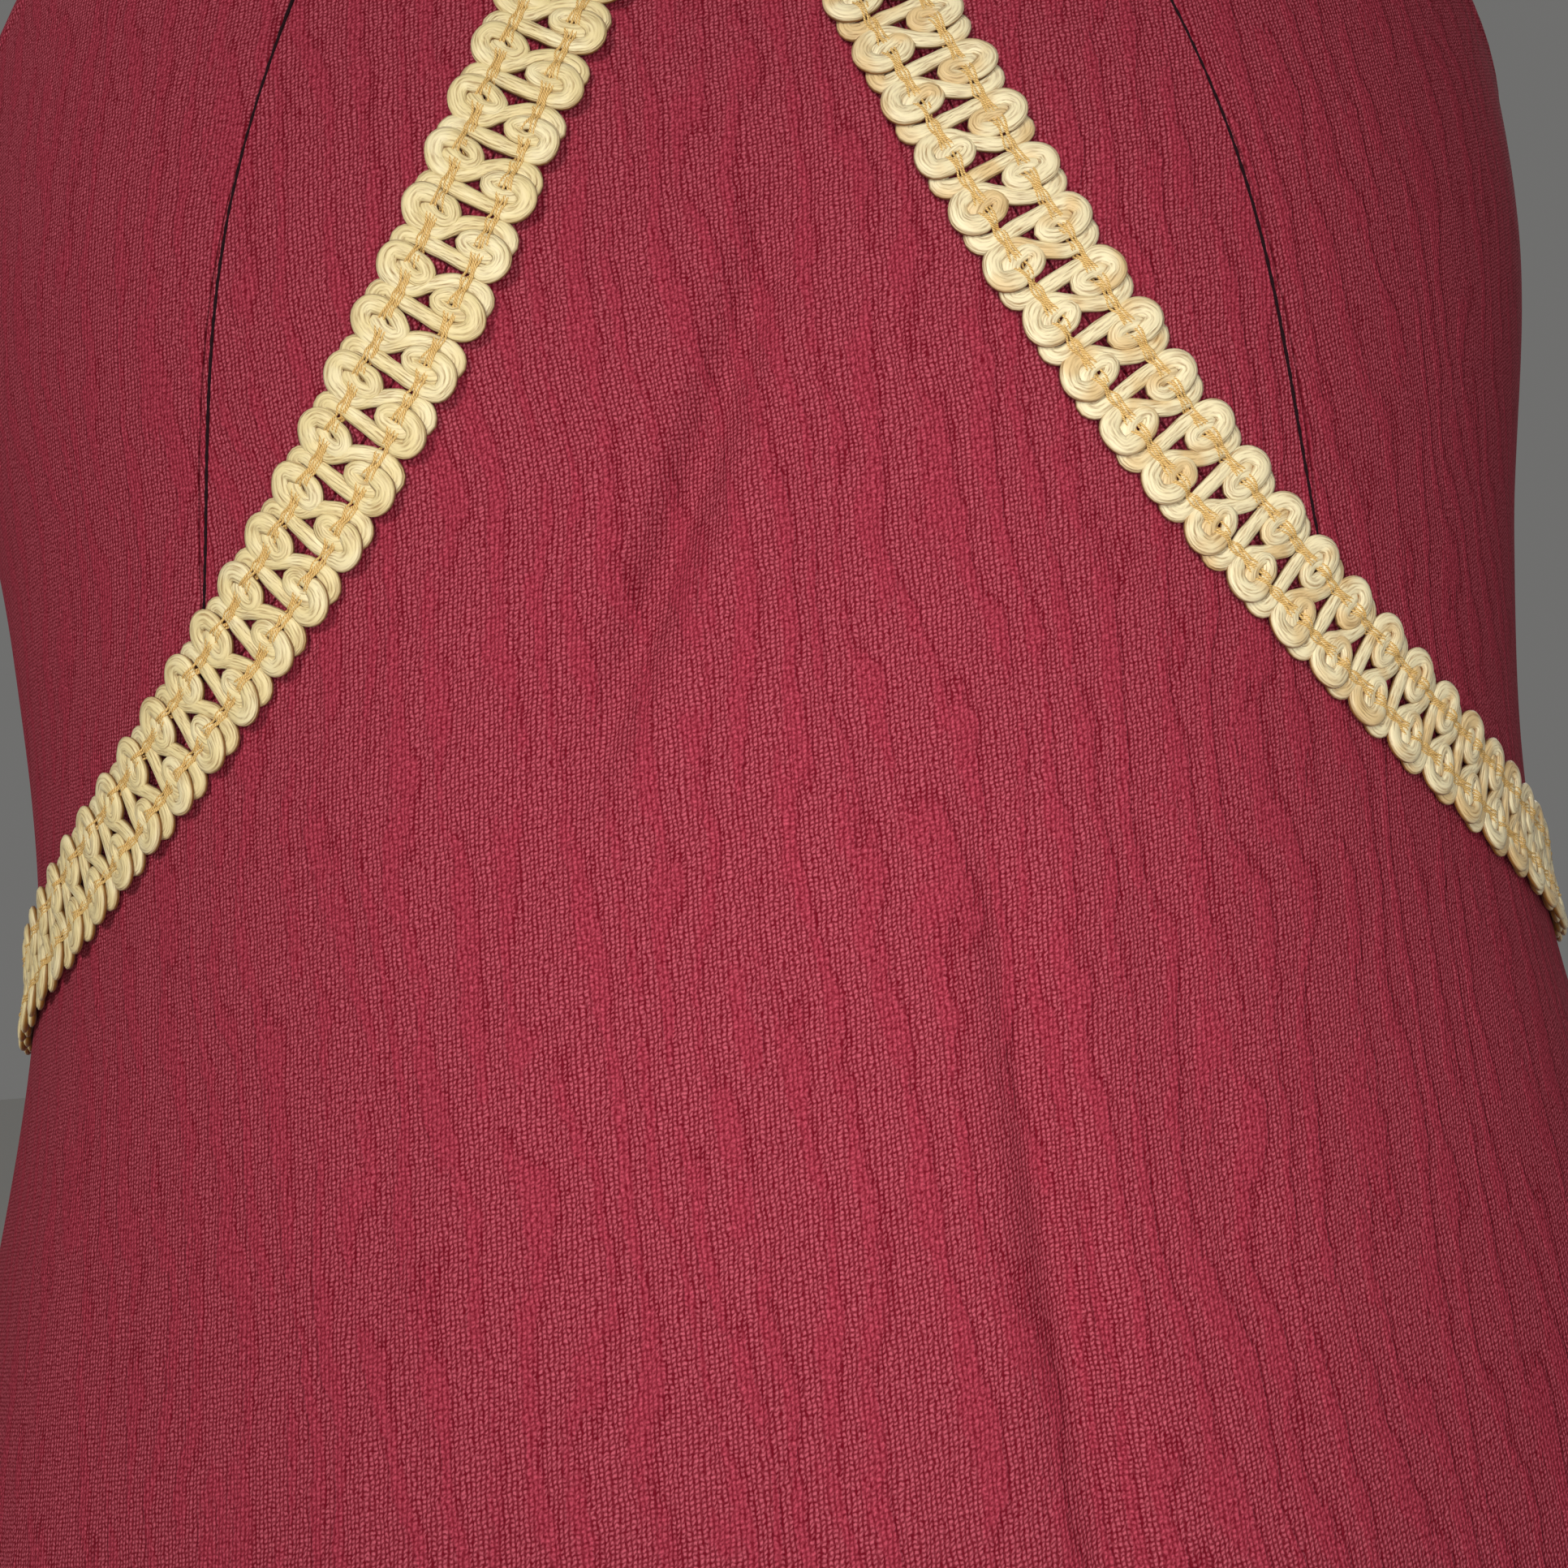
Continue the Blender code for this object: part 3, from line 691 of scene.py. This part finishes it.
def skirt_front(finish):
    # Closer columns and rows where the photo looks
    close = ((0.075, 1.9 * MM), (0.120, 2.6 * MM))
    half = spread(0.0, *close, (HALF_FRONT - 0.004, 4.2 * MM), (HALF_FRONT, 1.0 * MM))
    half[-1] -= SEAM_GAP / 2
    girths = np.concatenate([-half[:0:-1], half])
    edge, top = seam_edge(girths, 1)
    turn = front_turn(girths)
    close = ((0.012, 0.0025), (0.30, 0.0036))
    shares = spread(0.0, *close, (0.93, 0.014), (0.975, 0.006), (1.0, 0.0025))
    fade = np.clip(1 - shares / 0.03, 0, 1)[:, None]
    turns = front_turn(girths + (edge - girths) * fade)
    heights = top + (hem_height(turn) - top) * shares[:, None]
    side = HALF_FRONT - np.abs(girths)
    lift = below_braid(girths, PEAK - heights)
    lift = lift + drawn_seam(side, heights)
    lift = lift + turned_edge(heights - hem_height(turn), HEM_TURN)
    return piece_on_form("front_skirt_cloth", turns, heights, lift, finish)


def skirt_back(finish):
    half = spread(0.0, (HALF_BACK - 0.004, 3.6 * MM), (HALF_BACK, 1.0 * MM))
    half[-1] -= SEAM_GAP / 2
    girths = np.concatenate([half[:0:-1], -half])
    turn = back_turn(girths)
    top = np.full_like(turn, SIDE_SEAM_HEIGHT - SEAM_GAP / 2)
    shares = spread(0.0, (0.012, 0.0015), (0.93, 0.013), (0.975, 0.006), (1.0, 0.0025))
    heights = top + (hem_height(turn) - top) * shares[:, None]
    turns = np.broadcast_to(turn, heights.shape)
    side = HALF_BACK - np.abs(girths)
    lift = drawn_seam(side, heights)
    lift = lift + drawn_seam(top - heights, girths)
    lift = lift + turned_edge(heights - hem_height(turn), HEM_TURN)
    return piece_on_form("back_skirt_cloth", turns, heights, lift, finish, middle=math.pi)


def armhole_fall(girth, start, end, top):
    """The armhole's edge: steep beside the strap, level under the arm."""
    share = np.clip((girth - start) / (end - start), 0, 1)
    return top - (top - UNDERARM) * (1 - (1 - share) ** 2.2)


def front_top_edge(girth):
    """Height of the front bodice's upper edge: neckline, strap, then armhole."""
    scoop = FRONT_NECK + (FRONT_STRAP - FRONT_NECK) * np.clip(girth / PRINCESS_TOP, 0, 1) ** 2
    armhole = armhole_fall(girth, STRAP_INNER + STRAP_WIDTH + 2 * MM, HALF_FRONT, FRONT_STRAP)
    return np.where(girth < PRINCESS_TOP, scoop, armhole)


def princess_width(share):
    """Girth of the princess seam, from the neckline at 0 to the braid at 1."""
    straight = PRINCESS_TOP + (PRINCESS_END - PRINCESS_TOP) * share
    return straight + PRINCESS_BOW * 4 * share * (1 - share)


def bodice_rows():
    """Rows from the upper edge at 0 to the braided seam at 1, closer at both ends."""
    return spread(0.0, (0.05, 0.006), (0.95, 0.014), (1.0, 0.008))


def bodice_front_centre(finish):
    """The centre front's edge laps a little over the side fronts at the princess seams."""
    half = spread(0.0, (0.93, 0.022), (0.98, 0.0055), (1.0, 0.0025))
    shares = np.concatenate([-half[:0:-1], half])
    girths = shares * PRINCESS_END
    edge, bottom = seam_edge(girths, -1)
    down = bodice_rows()[:, None]
    width = princess_width(down) + SEAM_LAP
    across = shares * width
    across = across * (1 - down**4) + edge * (1 + SEAM_LAP / PRINCESS_END) * down**4
    top = front_top_edge(np.abs(shares) * PRINCESS_TOP * 0.999)
    heights = top + (bottom - top) * down
    turns = front_turn(across)
    beside = (1 - np.abs(shares)) * width
    lift = 0.30 * MM * bell(beside, 2.4 * MM) + 0.4 * drawn_seam(beside + 2 * MM, heights)
    lift = lift - 1.2 * MM * bell(beside, 0.5 * MM)
    lift = lift + turned_edge(top - heights, EDGE_TURN)
    return piece_on_form("centre_bodice_cloth", turns, heights, lift, finish)


def bodice_front_side(side, sign, finish):
    shares = spread(0.0, (0.02, 0.0022), (0.10, 0.008), (0.96, 0.026), (1.0, 0.008))
    girths = PRINCESS_END + (HALF_FRONT - PRINCESS_END) * shares
    edge, bottom = seam_edge(girths, -1)
    outer = HALF_FRONT - SEAM_GAP / 2
    down = bodice_rows()[:, None]
    inner = princess_width(down) + SEAM_GAP / 2
    across = inner + (outer - inner) * shares
    across = across * (1 - down**4) + (edge + SEAM_GAP / 2 * (1 - shares)) * down**4
    top = front_top_edge(PRINCESS_TOP + SEAM_GAP / 2 + (outer - PRINCESS_TOP) * shares)
    heights = top + (bottom - top) * down
    beside = across - inner
    if sign < 0:
        across, heights, beside = across[:, ::-1], heights[:, ::-1], beside[:, ::-1]
        top = top[::-1]
    turns = front_turn(sign * across)
    lift = drawn_seam(beside, heights) - 0.9 * MM * bell(beside, 0.8 * MM)
    lift = lift + drawn_seam(outer - across, heights)
    lift = lift + turned_edge(top - heights, EDGE_TURN)
    name = f"{side}_side_bodice_cloth"
    return piece_on_form(name, turns, heights, lift, finish, lean=sign * SIDE_FRONT_LEAN)


def back_top_edge(girth):
    """Height of the back bodice's upper edge."""
    strap_outer = STRAP_BACK_INNER + STRAP_WIDTH
    scoop = BACK_NECK + (BACK_STRAP - BACK_NECK) * np.clip(girth / STRAP_BACK_INNER, 0, 1) ** 2
    armhole = armhole_fall(girth, strap_outer + 2 * MM, HALF_BACK, BACK_STRAP)
    return np.where(girth < STRAP_BACK_INNER, scoop, armhole)


def bodice_back(finish):
    half = spread(0.0, (HALF_BACK - 0.004, 3.0 * MM), (HALF_BACK, 1.0 * MM))
    half[-1] -= SEAM_GAP / 2
    girths = np.concatenate([half[:0:-1], -half])
    top = back_top_edge(np.abs(girths))
    bottom = np.full_like(girths, SIDE_SEAM_HEIGHT + SEAM_GAP / 2)
    heights = top + (bottom - top) * bodice_rows()[:, None]
    turns = np.broadcast_to(back_turn(girths), heights.shape)
    side = HALF_BACK - np.abs(girths)
    lift = drawn_seam(side, heights) + drawn_seam(heights - bottom, girths)
    lift = lift + turned_edge(top - heights, EDGE_TURN)
    return piece_on_form("back_bodice_cloth", turns, heights, lift, finish, middle=math.pi)


def bezier(start, start_handle, end_handle, end, count):
    t = np.linspace(0, 1, count)[:, None]
    return (
        (1 - t) ** 3 * start
        + 3 * (1 - t) ** 2 * t * start_handle
        + 3 * (1 - t) * t**2 * end_handle
        + t**3 * end
    )


def strap_rail(front_turns, back_turns, top_point, rows):
    """One long line of a strap, from the front bodice over the shoulder to the back."""
    rise = 10 * MM
    front_height = np.array(FRONT_STRAP + SEAM_GAP)
    back_height = np.array(BACK_STRAP + SEAM_GAP)
    front = skin(front_turns, front_height)
    back = skin(back_turns, back_height)
    up_front = unit(skin(front_turns, front_height + rise) - front)
    up_back = unit(skin(back_turns, back_height + rise) - back)
    over = np.array([0.0, 1.0, 0.0])
    half = rows // 2
    at_front, at_top, at_back = STRAP_RUNS
    front_run, back_run = front + at_front * up_front, back + at_back * up_back
    climb = bezier(front, front_run, top_point - at_top * over, top_point, half + 1)
    descent = bezier(top_point, top_point + at_top * over, back_run, back, half + 1)
    return np.concatenate([climb, descent[1:]])


def strap(side, sign, finish):
    shares = spread(0.0, (0.12, 0.02), (0.88, 0.08), (1.0, 0.02))
    rails = []
    for share in shares:
        out = STRAP_SHOULDER_INNER + share * STRAP_WIDTH * math.cos(SHOULDER_SLOPE)
        drop = share * STRAP_WIDTH * math.sin(SHOULDER_SLOPE)
        crown = STRAP_CROWN * 4 * share * (1 - share)
        top_point = np.array([out, 0.0, STRAP_WALL - drop + crown])
        turn_in_front = front_turn(STRAP_INNER + share * STRAP_WIDTH)
        turn_behind = back_turn(STRAP_BACK_INNER + share * STRAP_WIDTH)
        rails.append(strap_rail(turn_in_front, turn_behind, top_point, 120))
    outside = np.stack(rails, axis=1)
    normals = unit(np.cross(np.gradient(outside, axis=1), np.gradient(outside, axis=0)))
    beside = np.minimum(shares, 1 - shares) * STRAP_WIDTH
    lift = np.broadcast_to(turned_edge(beside, 4 * MM)[None, :], outside.shape[:2])
    outside = outside + lift[..., None] * normals
    across = np.broadcast_to(shares * STRAP_WIDTH, outside.shape[:2])
    along = distances_along(outside[:, len(shares) // 2])
    grain = np.stack([across, np.broadcast_to(along[:, None], across.shape)], axis=-1)
    if sign < 0:
        flip = np.array([-1.0, 1.0, 1.0])
        outside = outside * flip
        normals = normals * flip
    else:
        outside = outside[:, ::-1]
        normals = normals[:, ::-1]
        grain = grain[:, ::-1]
    return cloth_shell(f"{side}_strap_cloth", outside, normals, grain, finish, thickness=1.3 * MM)


# Cords and threads


def tube(middles, ups, widths, heights, sides):
    """Points, faces and UV map of a soft cord: an oval section swept along its middle line."""
    along = unit(np.gradient(middles, axis=0))
    aside = unit(np.cross(ups, along))
    rise = np.cross(along, aside)
    # The map's seam lies underneath
    angles = np.linspace(0, math.tau, sides, endpoint=False) - math.pi / 2
    ring = (
        middles[:, None]
        + 0.5 * widths[:, None, None] * np.cos(angles)[None, :, None] * aside[:, None]
        + 0.5 * heights[:, None, None] * np.sin(angles)[None, :, None] * rise[:, None]
    )
    count = len(middles)
    r, k = np.meshgrid(np.arange(count - 1), np.arange(sides), indexing="ij")
    r, k = r.ravel(), k.ravel()
    a, b = r * sides + k, r * sides + (k + 1) % sides
    faces = np.stack([a, b, b + sides, a + sides], axis=1).tolist()
    steps = distances_along(middles)
    round_it = math.pi * 0.5 * float(np.mean(widths + heights)) / sides
    u = np.stack([steps[r], steps[r], steps[r + 1], steps[r + 1]], axis=1)
    v = np.stack([k, k + 1, k + 1, k], axis=1) * round_it
    corners = np.stack([u, v], axis=-1).reshape(-1, 2)
    end = np.arange(sides)
    faces += [end[::-1].tolist(), (end + (count - 1) * sides).tolist()]
    cap_round = np.concatenate([end[::-1], end]) * round_it
    caps = np.stack([np.repeat([0.0, steps[-1]], sides), cap_round], axis=1)
    return ring.reshape(-1, 3), faces, np.concatenate([corners, caps])


def closed_tube(middles, ups, widths, heights, sides):
    """A tube that draws in to a small tip at both ends."""
    fade = np.ones(len(middles))
    fade[[0, -1]] = 0.2
    fade[[1, -2]] = 0.75
    return tube(middles, ups, widths * fade, heights * fade, sides)


def joined(parts):
    """Several tubes as one mesh."""
    points, faces, corners, offset = [], [], [], 0
    for part_points, part_faces, part_corners in parts:
        points.append(part_points)
        faces += [[corner + offset for corner in face] for face in part_faces]
        corners.append(part_corners)
        offset += len(part_points)
    return np.concatenate(points), faces, np.concatenate(corners)


def smooth_run(knots, step):
    """Evenly spaced points on a smooth curve through the knots."""
    knots = np.asarray(knots, float)
    ends = np.concatenate([[2 * knots[0] - knots[1]], knots, [2 * knots[-1] - knots[-2]]])
    fine = []
    for k in range(len(knots) - 1):
        p0, p1, p2, p3 = ends[k : k + 4]
        t = np.linspace(0, 1, 13)[:-1, None]
        fine.append(
            0.5 * (2 * p1 + (p2 - p0) * t + (2 * p0 - 5 * p1 + 4 * p2 - p3) * t**2
                   + (3 * p1 - p0 - 3 * p2 + p3) * t**3)
        )
    fine = np.concatenate(fine + [knots[-1:]])
    lengths = distances_along(fine[:, :2])
    count = max(2, round(lengths[-1] / step))
    marks = np.linspace(0, lengths[-1], count + 1)
    return np.stack([np.interp(marks, lengths, fine[:, i]) for i in range(3)], axis=1)


def one_repeat(rng):
    """The cord's knots through one repeat: over, round one scroll, back and round the other."""
    here = list(SCROLL) + list(CROSSING)
    there = [(s * SCROLL_STRETCH + SCROLL_SHIFT, -t, z) for s, t, z in SCROLL]
    knots = np.array(here + there)
    knots[:, :2] += UNEVEN * rng.uniform(-1, 1, (len(knots), 2)) * 0.5
    # Each scroll as a whole is a little larger or smaller, and sits a little off its place
    for first, last in ((1, len(SCROLL) - 1), (len(here) + 1, len(knots) - 1)):
        size = 1 + UNEVEN * 0.22 * rng.uniform(-1, 1)
        outer = np.sign(knots[first:last, 1].mean()) * BIND_ROW
        knots[first:last, 1] = outer + (knots[first:last, 1] - outer) * size
        knots[first:last, 0] += UNEVEN * 0.7 * rng.uniform(-1, 1)
    return knots


def cord_sizes(run):
    """Width and thickness of the cord: it spreads flat in the scrolls, and the rows pinch it."""
    out = np.abs(run[:, 1])
    in_scroll = np.clip((out - 3.4) / 1.8, 0, 1)
    width = CORD_WIDTH + (SCROLL_WIDTH - CORD_WIDTH) * in_scroll
    thickness = CORD_THICKNESS + (SCROLL_THICKNESS - CORD_THICKNESS) * in_scroll
    pinch = 1 - PINCH * bell(out - BIND_ROW, PINCH_REACH)
    return width * pinch, thickness * (0.6 + 0.4 * pinch)


def leg_place(distance, aside, sign):
    """Place on the cloth and outward direction, so far down a leg and aside of its middle."""
    girth, fall, slope = seam_place(distance)
    step = 0.2 * MM
    here = skin(front_turn(girth), PEAK - fall)
    by_girth = (skin(front_turn(girth + step), PEAK - fall) - here) / step
    by_fall = (skin(front_turn(girth), PEAK - fall - step) - here) / step
    normal = skin_normal(front_turn(girth), PEAK - fall)
    along = unit(by_girth * np.cos(slope)[:, None] + by_fall * np.sin(slope)[:, None])
    across = np.cross(normal, along)
    gg, gf, ff, ga, fa = (
        np.sum(a * b, axis=1)
        for a, b in (
            (by_girth, by_girth), (by_girth, by_fall), (by_fall, by_fall),
            (by_girth, across), (by_fall, across),
        )
    )
    det = gg * ff - gf**2
    girth_share = (ga * ff - fa * gf) / det
    fall_share = (fa * gg - ga * gf) / det
    reached = np.clip(girth + aside * girth_share, 0.1 * MM, None)
    height = PEAK - fall - aside * fall_share
    points = skin(front_turn(sign * reached), height)
    return points, skin_normal(front_turn(sign * reached), height)


def envelope(run, sizes, row, marks):
    """Height of the cords' top under a thread that runs along a row, at marks along the leg."""
    width, thickness = sizes
    gap = np.hypot(marks[:, None] - run[None, :, 0], row - run[None, :, 1])
    inside = np.clip(1 - (2 * gap / width[None, :]) ** 2, 0, None)
    top = run[None, :, 2] + 0.5 * thickness[None, :] * np.sqrt(inside)
    return np.maximum(np.where(inside > 0, top, 0).max(axis=1), 0.3)


def braid_leg(side, sign, cord_finish, thread_finish):
    """One leg of the braid: the cord, which loops from row to row, and its binding threads."""
    repeat, start, shear, offset = LEGS[side]
    # The cord's order runs down the right leg and up the left one
    way = 1 if sign > 0 else -1
    rng = np.random.default_rng(11 if sign > 0 else 12)

    def laid(s, t, z):
        aside = way * t + offset
        distance = start + way * s * repeat / REPEAT + shear * aside / (2 * BIND_ROW)
        place, normal = leg_place(distance * MM, aside * MM, sign)
        return distance, place + ((z + BRAID_SEAT) * MM)[:, None] * normal, normal

    reach = math.ceil(SEAM_LENGTH / MM / REPEAT)
    knots = []
    for k in range(-reach, reach):
        repeat_knots = one_repeat(rng)
        repeat_knots[:, 0] += k * REPEAT
        knots.append(repeat_knots)
    run = smooth_run(np.concatenate(knots), CORD_STEP)
    distance, middle, normal = laid(*run.T)
    held = (distance > LEG_START) & (distance < SEAM_LENGTH / MM - LEG_START)
    width, thickness = cord_sizes(run)
    count = np.arange(len(run))
    width = width * (1 + 0.05 * np.sin(0.83 * count * CORD_STEP + 2 * np.sin(0.11 * count)))
    tubes = []
    for span in np.split(count, np.nonzero(np.diff(held.astype(int)))[0] + 1):
        if held[span[0]] and len(span) > 8:
            sizes = width[span] * MM, thickness[span] * MM
            tubes.append(closed_tube(middle[span], normal[span], *sizes, CORD_SIDES))
    cord = mesh_object(f"{side}_braid_cord", *joined(tubes), cord_finish, "gold_satin_cord")

    span = np.nonzero(held)[0]
    marks = np.arange(run[span, 0].min() - 2, run[span, 0].max() + 2, THREAD_STEP)
    strands = []
    for row in (-1, 1):
        for strand in range(THREADS_PER_ROW):
            aside = (strand - (THREADS_PER_ROW - 1) / 2) * THREAD_SPACING
            top = envelope(run, (width, thickness), row * (BIND_ROW + aside), marks)
            smooth = np.convolve(np.pad(top, 1, mode="edge"), (0.2, 0.6, 0.2), mode="valid")
            # The threads spread and dip at each scroll's eye, and draw together beside it
            eye = EYE if row > 0 else EYE * SCROLL_STRETCH + SCROLL_SHIFT
            from_eye = (marks - eye + REPEAT / 2) % REPEAT - REPEAT / 2
            spread_out = bell(from_eye, 1.7) + 0.6 * bell(np.abs(from_eye) - REPEAT / 2, 1.0)
            weave = np.sin(marks / REPEAT * math.tau * 2 + strand * 2.2 + row)
            wander = 0.08 * weave + 0.08 * np.sin(marks * 0.9 + 2.1 * strand + row * 0.7)
            t = row * (BIND_ROW + aside * (0.55 + 0.85 * spread_out)) + wander
            z = smooth - 0.04 + 0.04 * weave - 0.28 * bell(from_eye, 0.6)
            reached, line, up = laid(marks, t, z)
            kept = (reached > LEG_START) & (reached < SEAM_LENGTH / MM - LEG_START)
            size = np.full(int(kept.sum()), THREAD_WIDTH * MM)
            strands.append(closed_tube(line[kept], up[kept], size, size, THREAD_SIDES))
    name = f"{side}_braid_threads"
    mesh_object(name, *joined(strands), thread_finish, "gold_satin_cord")
    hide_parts(f"braid_{side}")


def princess_seam_shadow_line(side, sign, finish):
    """A near-black thread deep in a princess seam, where its stitches hold the two edges together:
    painted shade for the shadow in the seam's groove.
    """
    down = np.linspace(0.01, 0.985, 260)
    _, bottom = seam_edge(np.array([PRINCESS_END]), -1)
    top = front_top_edge(np.array([PRINCESS_TOP * 0.999]))
    heights = top + (bottom - top) * down
    turns = front_turn(sign * (princess_width(down) + PRINCESS_SHADOW_ASIDE))
    normals = skin_normal(turns, heights)
    lift = 0.02 * MM + 0.06 * MM * np.sin(down * 420)
    width = np.full(len(down), PRINCESS_SHADOW_WIDTH)
    cord = closed_tube(skin(turns, heights) + lift[:, None] * normals, normals, width, width, 8)
    return mesh_object(f"{side}_princess_seam_shadow_line", *cord, finish, "burgundy_crepe")


def side_stitching(side, sign, finish):
    """The stitching deep in a side seam, from underarm to hem, as wide as the seam opens."""
    half_turn = sign * math.pi / 2
    heights = np.linspace(UNDERARM - 1 * MM, float(hem_height(half_turn)) + 1 * MM, 420)
    turns = np.full_like(heights, half_turn)
    front = skin(sign * front_turn(HALF_FRONT - SEAM_GAP / 2) + 0 * heights, heights)
    back = skin(back_turn(sign * (HALF_BACK - SEAM_GAP / 2)) + 0 * heights, heights)
    width = np.linalg.norm(front - back, axis=1) + SIDE_STITCH_HOLD
    normals = skin_normal(turns, heights)
    middles = skin(turns, heights) - (SEAM_DRAW + CLOTH / 2) * normals
    thickness = np.full(len(width), SIDE_STITCH_THICKNESS)
    cord = closed_tube(middles, normals, width, thickness, 8)
    return mesh_object(f"{side}_side_stitching", *cord, finish, "burgundy_crepe")


def hem_stitches(finish):
    """A row of machine stitches: short threads laid on the cloth with a gap between them."""
    turns = np.linspace(0, math.tau, 900)
    turns = np.sort(np.where(turns > math.pi, turns - math.tau, turns))
    heights = hem_height(turns) + HEM_TURN - STITCH_INSET
    normals = skin_normal(turns, heights)
    places = skin(turns, heights) - (STITCH_GROOVE - TURN_THICKNESS * 0.6) * normals
    lengths = distances_along(places)
    shape = np.array([0.0, 0.12, 0.5, 0.88, 1.0])
    sink = np.array([-0.35, 0.1, 0.28, 0.1, -0.35]) * STITCH_THREAD
    size = np.array([0.4, 0.9, 1.0, 0.9, 0.4]) * STITCH_THREAD
    parts = []
    for start in np.arange(0, lengths[-1] - STITCH_PITCH, STITCH_PITCH):
        at = start + shape * STITCH_LENGTH
        middle = np.stack([np.interp(at, lengths, places[:, i]) for i in range(3)], axis=1)
        up = unit(np.stack([np.interp(at, lengths, normals[:, i]) for i in range(3)], axis=1))
        parts.append(tube(middle + sink[:, None] * up, up, size, size, 4))
    return mesh_object("hem_stitches", *joined(parts), finish, "burgundy_crepe")


# Camera, light and floor


def add_light(name, place, aim, size, power, colour, spread_angle):
    lamp = bpy.data.lights.new(name, "AREA")
    lamp.shape = "DISK"
    lamp.size = size
    lamp.energy = power
    lamp.color = colour
    lamp.spread = math.radians(spread_angle)
    made = bpy.data.objects.new(name, lamp)
    made.location = place
    direction = np.array(aim) - np.array(place)
    made.rotation_euler = Vector(direction).to_track_quat("-Z", "Y").to_euler()
    bpy.context.scene.collection.objects.link(made)


def add_camera():
    lens = bpy.data.cameras.new("close_view")
    lens.sensor_width = 36
    lens.lens = 18 / math.tan(ANGLE_OF_VIEW / 2)
    lens.clip_start = 0.01
    camera = bpy.data.objects.new("close_view", lens)
    camera.location = CAMERA_PLACE
    camera.rotation_euler = (math.pi / 2 + CAMERA_RISE, CAMERA_ROLL, 0)
    bpy.context.scene.collection.objects.link(camera)
    bpy.context.scene.camera = camera


def add_floor():
    bpy.ops.object.select_all(action="DESELECT")
    bpy.ops.mesh.primitive_plane_add(size=14, location=(0, 0, HEM - FLOOR_BELOW_HEM))
    floor = bpy.context.object
    floor.name = "floor"
    bpy.ops.object.transform_apply(location=True, rotation=True, scale=True)
    paint = bpy.data.materials.new("matt_white_paint")
    paint.use_nodes = True
    shader = paint.node_tree.nodes["Principled BSDF"]
    fill(paint.node_tree, shader, {"Base Color": "#e9e7e3", "Roughness": 0.9})
    floor.data.materials.append(paint)


def add_studio():
    scene = bpy.context.scene
    scene.view_settings.view_transform = "Standard"
    world = bpy.data.worlds.new("studio")
    world.use_nodes = True
    sky = world.node_tree.nodes["Background"]
    fill(world.node_tree, sky, {"Color": "#f2f1ee", "Strength": 0.18})
    scene.world = world
    for light in LIGHTS:
        add_light(*light)


def main():
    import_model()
    crepe = crepe_knit()
    left_cord = satin_cord("rayon_satin_cord", "#9a7038", "#ecd9a2", "#f2e3b4")
    right_cord = satin_cord("rayon_satin_cord_tanned", "#9c7038", "#f4e6bc", "#e6c892")
    binding = twisted_thread("golden_binding_thread", "#b88b43", "#f2cf8b", 0.5)
    sewing = twisted_thread("burgundy_sewing_thread", "#6a1c2c", "#9c3448", 0.6)
    # Near-black thread: painted shade for the shadow deep in the princess seams
    seam_shadow_thread = twisted_thread("near_black_seam_shadow_thread", "#140409", "#260a11", 0.95)
    # Each cut piece by its solid, with its width, length and area when flat
    pieces = {
        "skirt_front": (skirt_front(crepe), 1.40, 1.08, 0.81),
        "skirt_back": (skirt_back(crepe), 1.35, 0.90, 0.78),
        "bodice_front_centre": (bodice_front_centre(crepe), 0.19, 0.20, 0.0144),
        "bodice_front_side_left": (bodice_front_side("left", -1, crepe), 0.16, 0.26, 0.0267),
        "bodice_front_side_right": (bodice_front_side("right", 1, crepe), 0.16, 0.26, 0.0267),
        "bodice_back": (bodice_back(crepe), 0.42, 0.22, 0.078),
        "strap_left": (strap("left", -1, crepe), 0.042, 0.40, 0.015),
        "strap_right": (strap("right", 1, crepe), 0.042, 0.40, 0.015),
    }
    for solid, (piece, width, length, area) in pieces.items():
        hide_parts(solid)
    for side, sign, cord in (("left", -1, left_cord), ("right", 1, right_cord)):
        braid_leg(side, sign, cord, binding)
        princess_seam_shadow_line(side, sign, seam_shadow_thread)
        side_stitching(side, sign, sewing)
    hem_stitches(sewing)
    add_floor()
    add_studio()
    add_camera()


main()
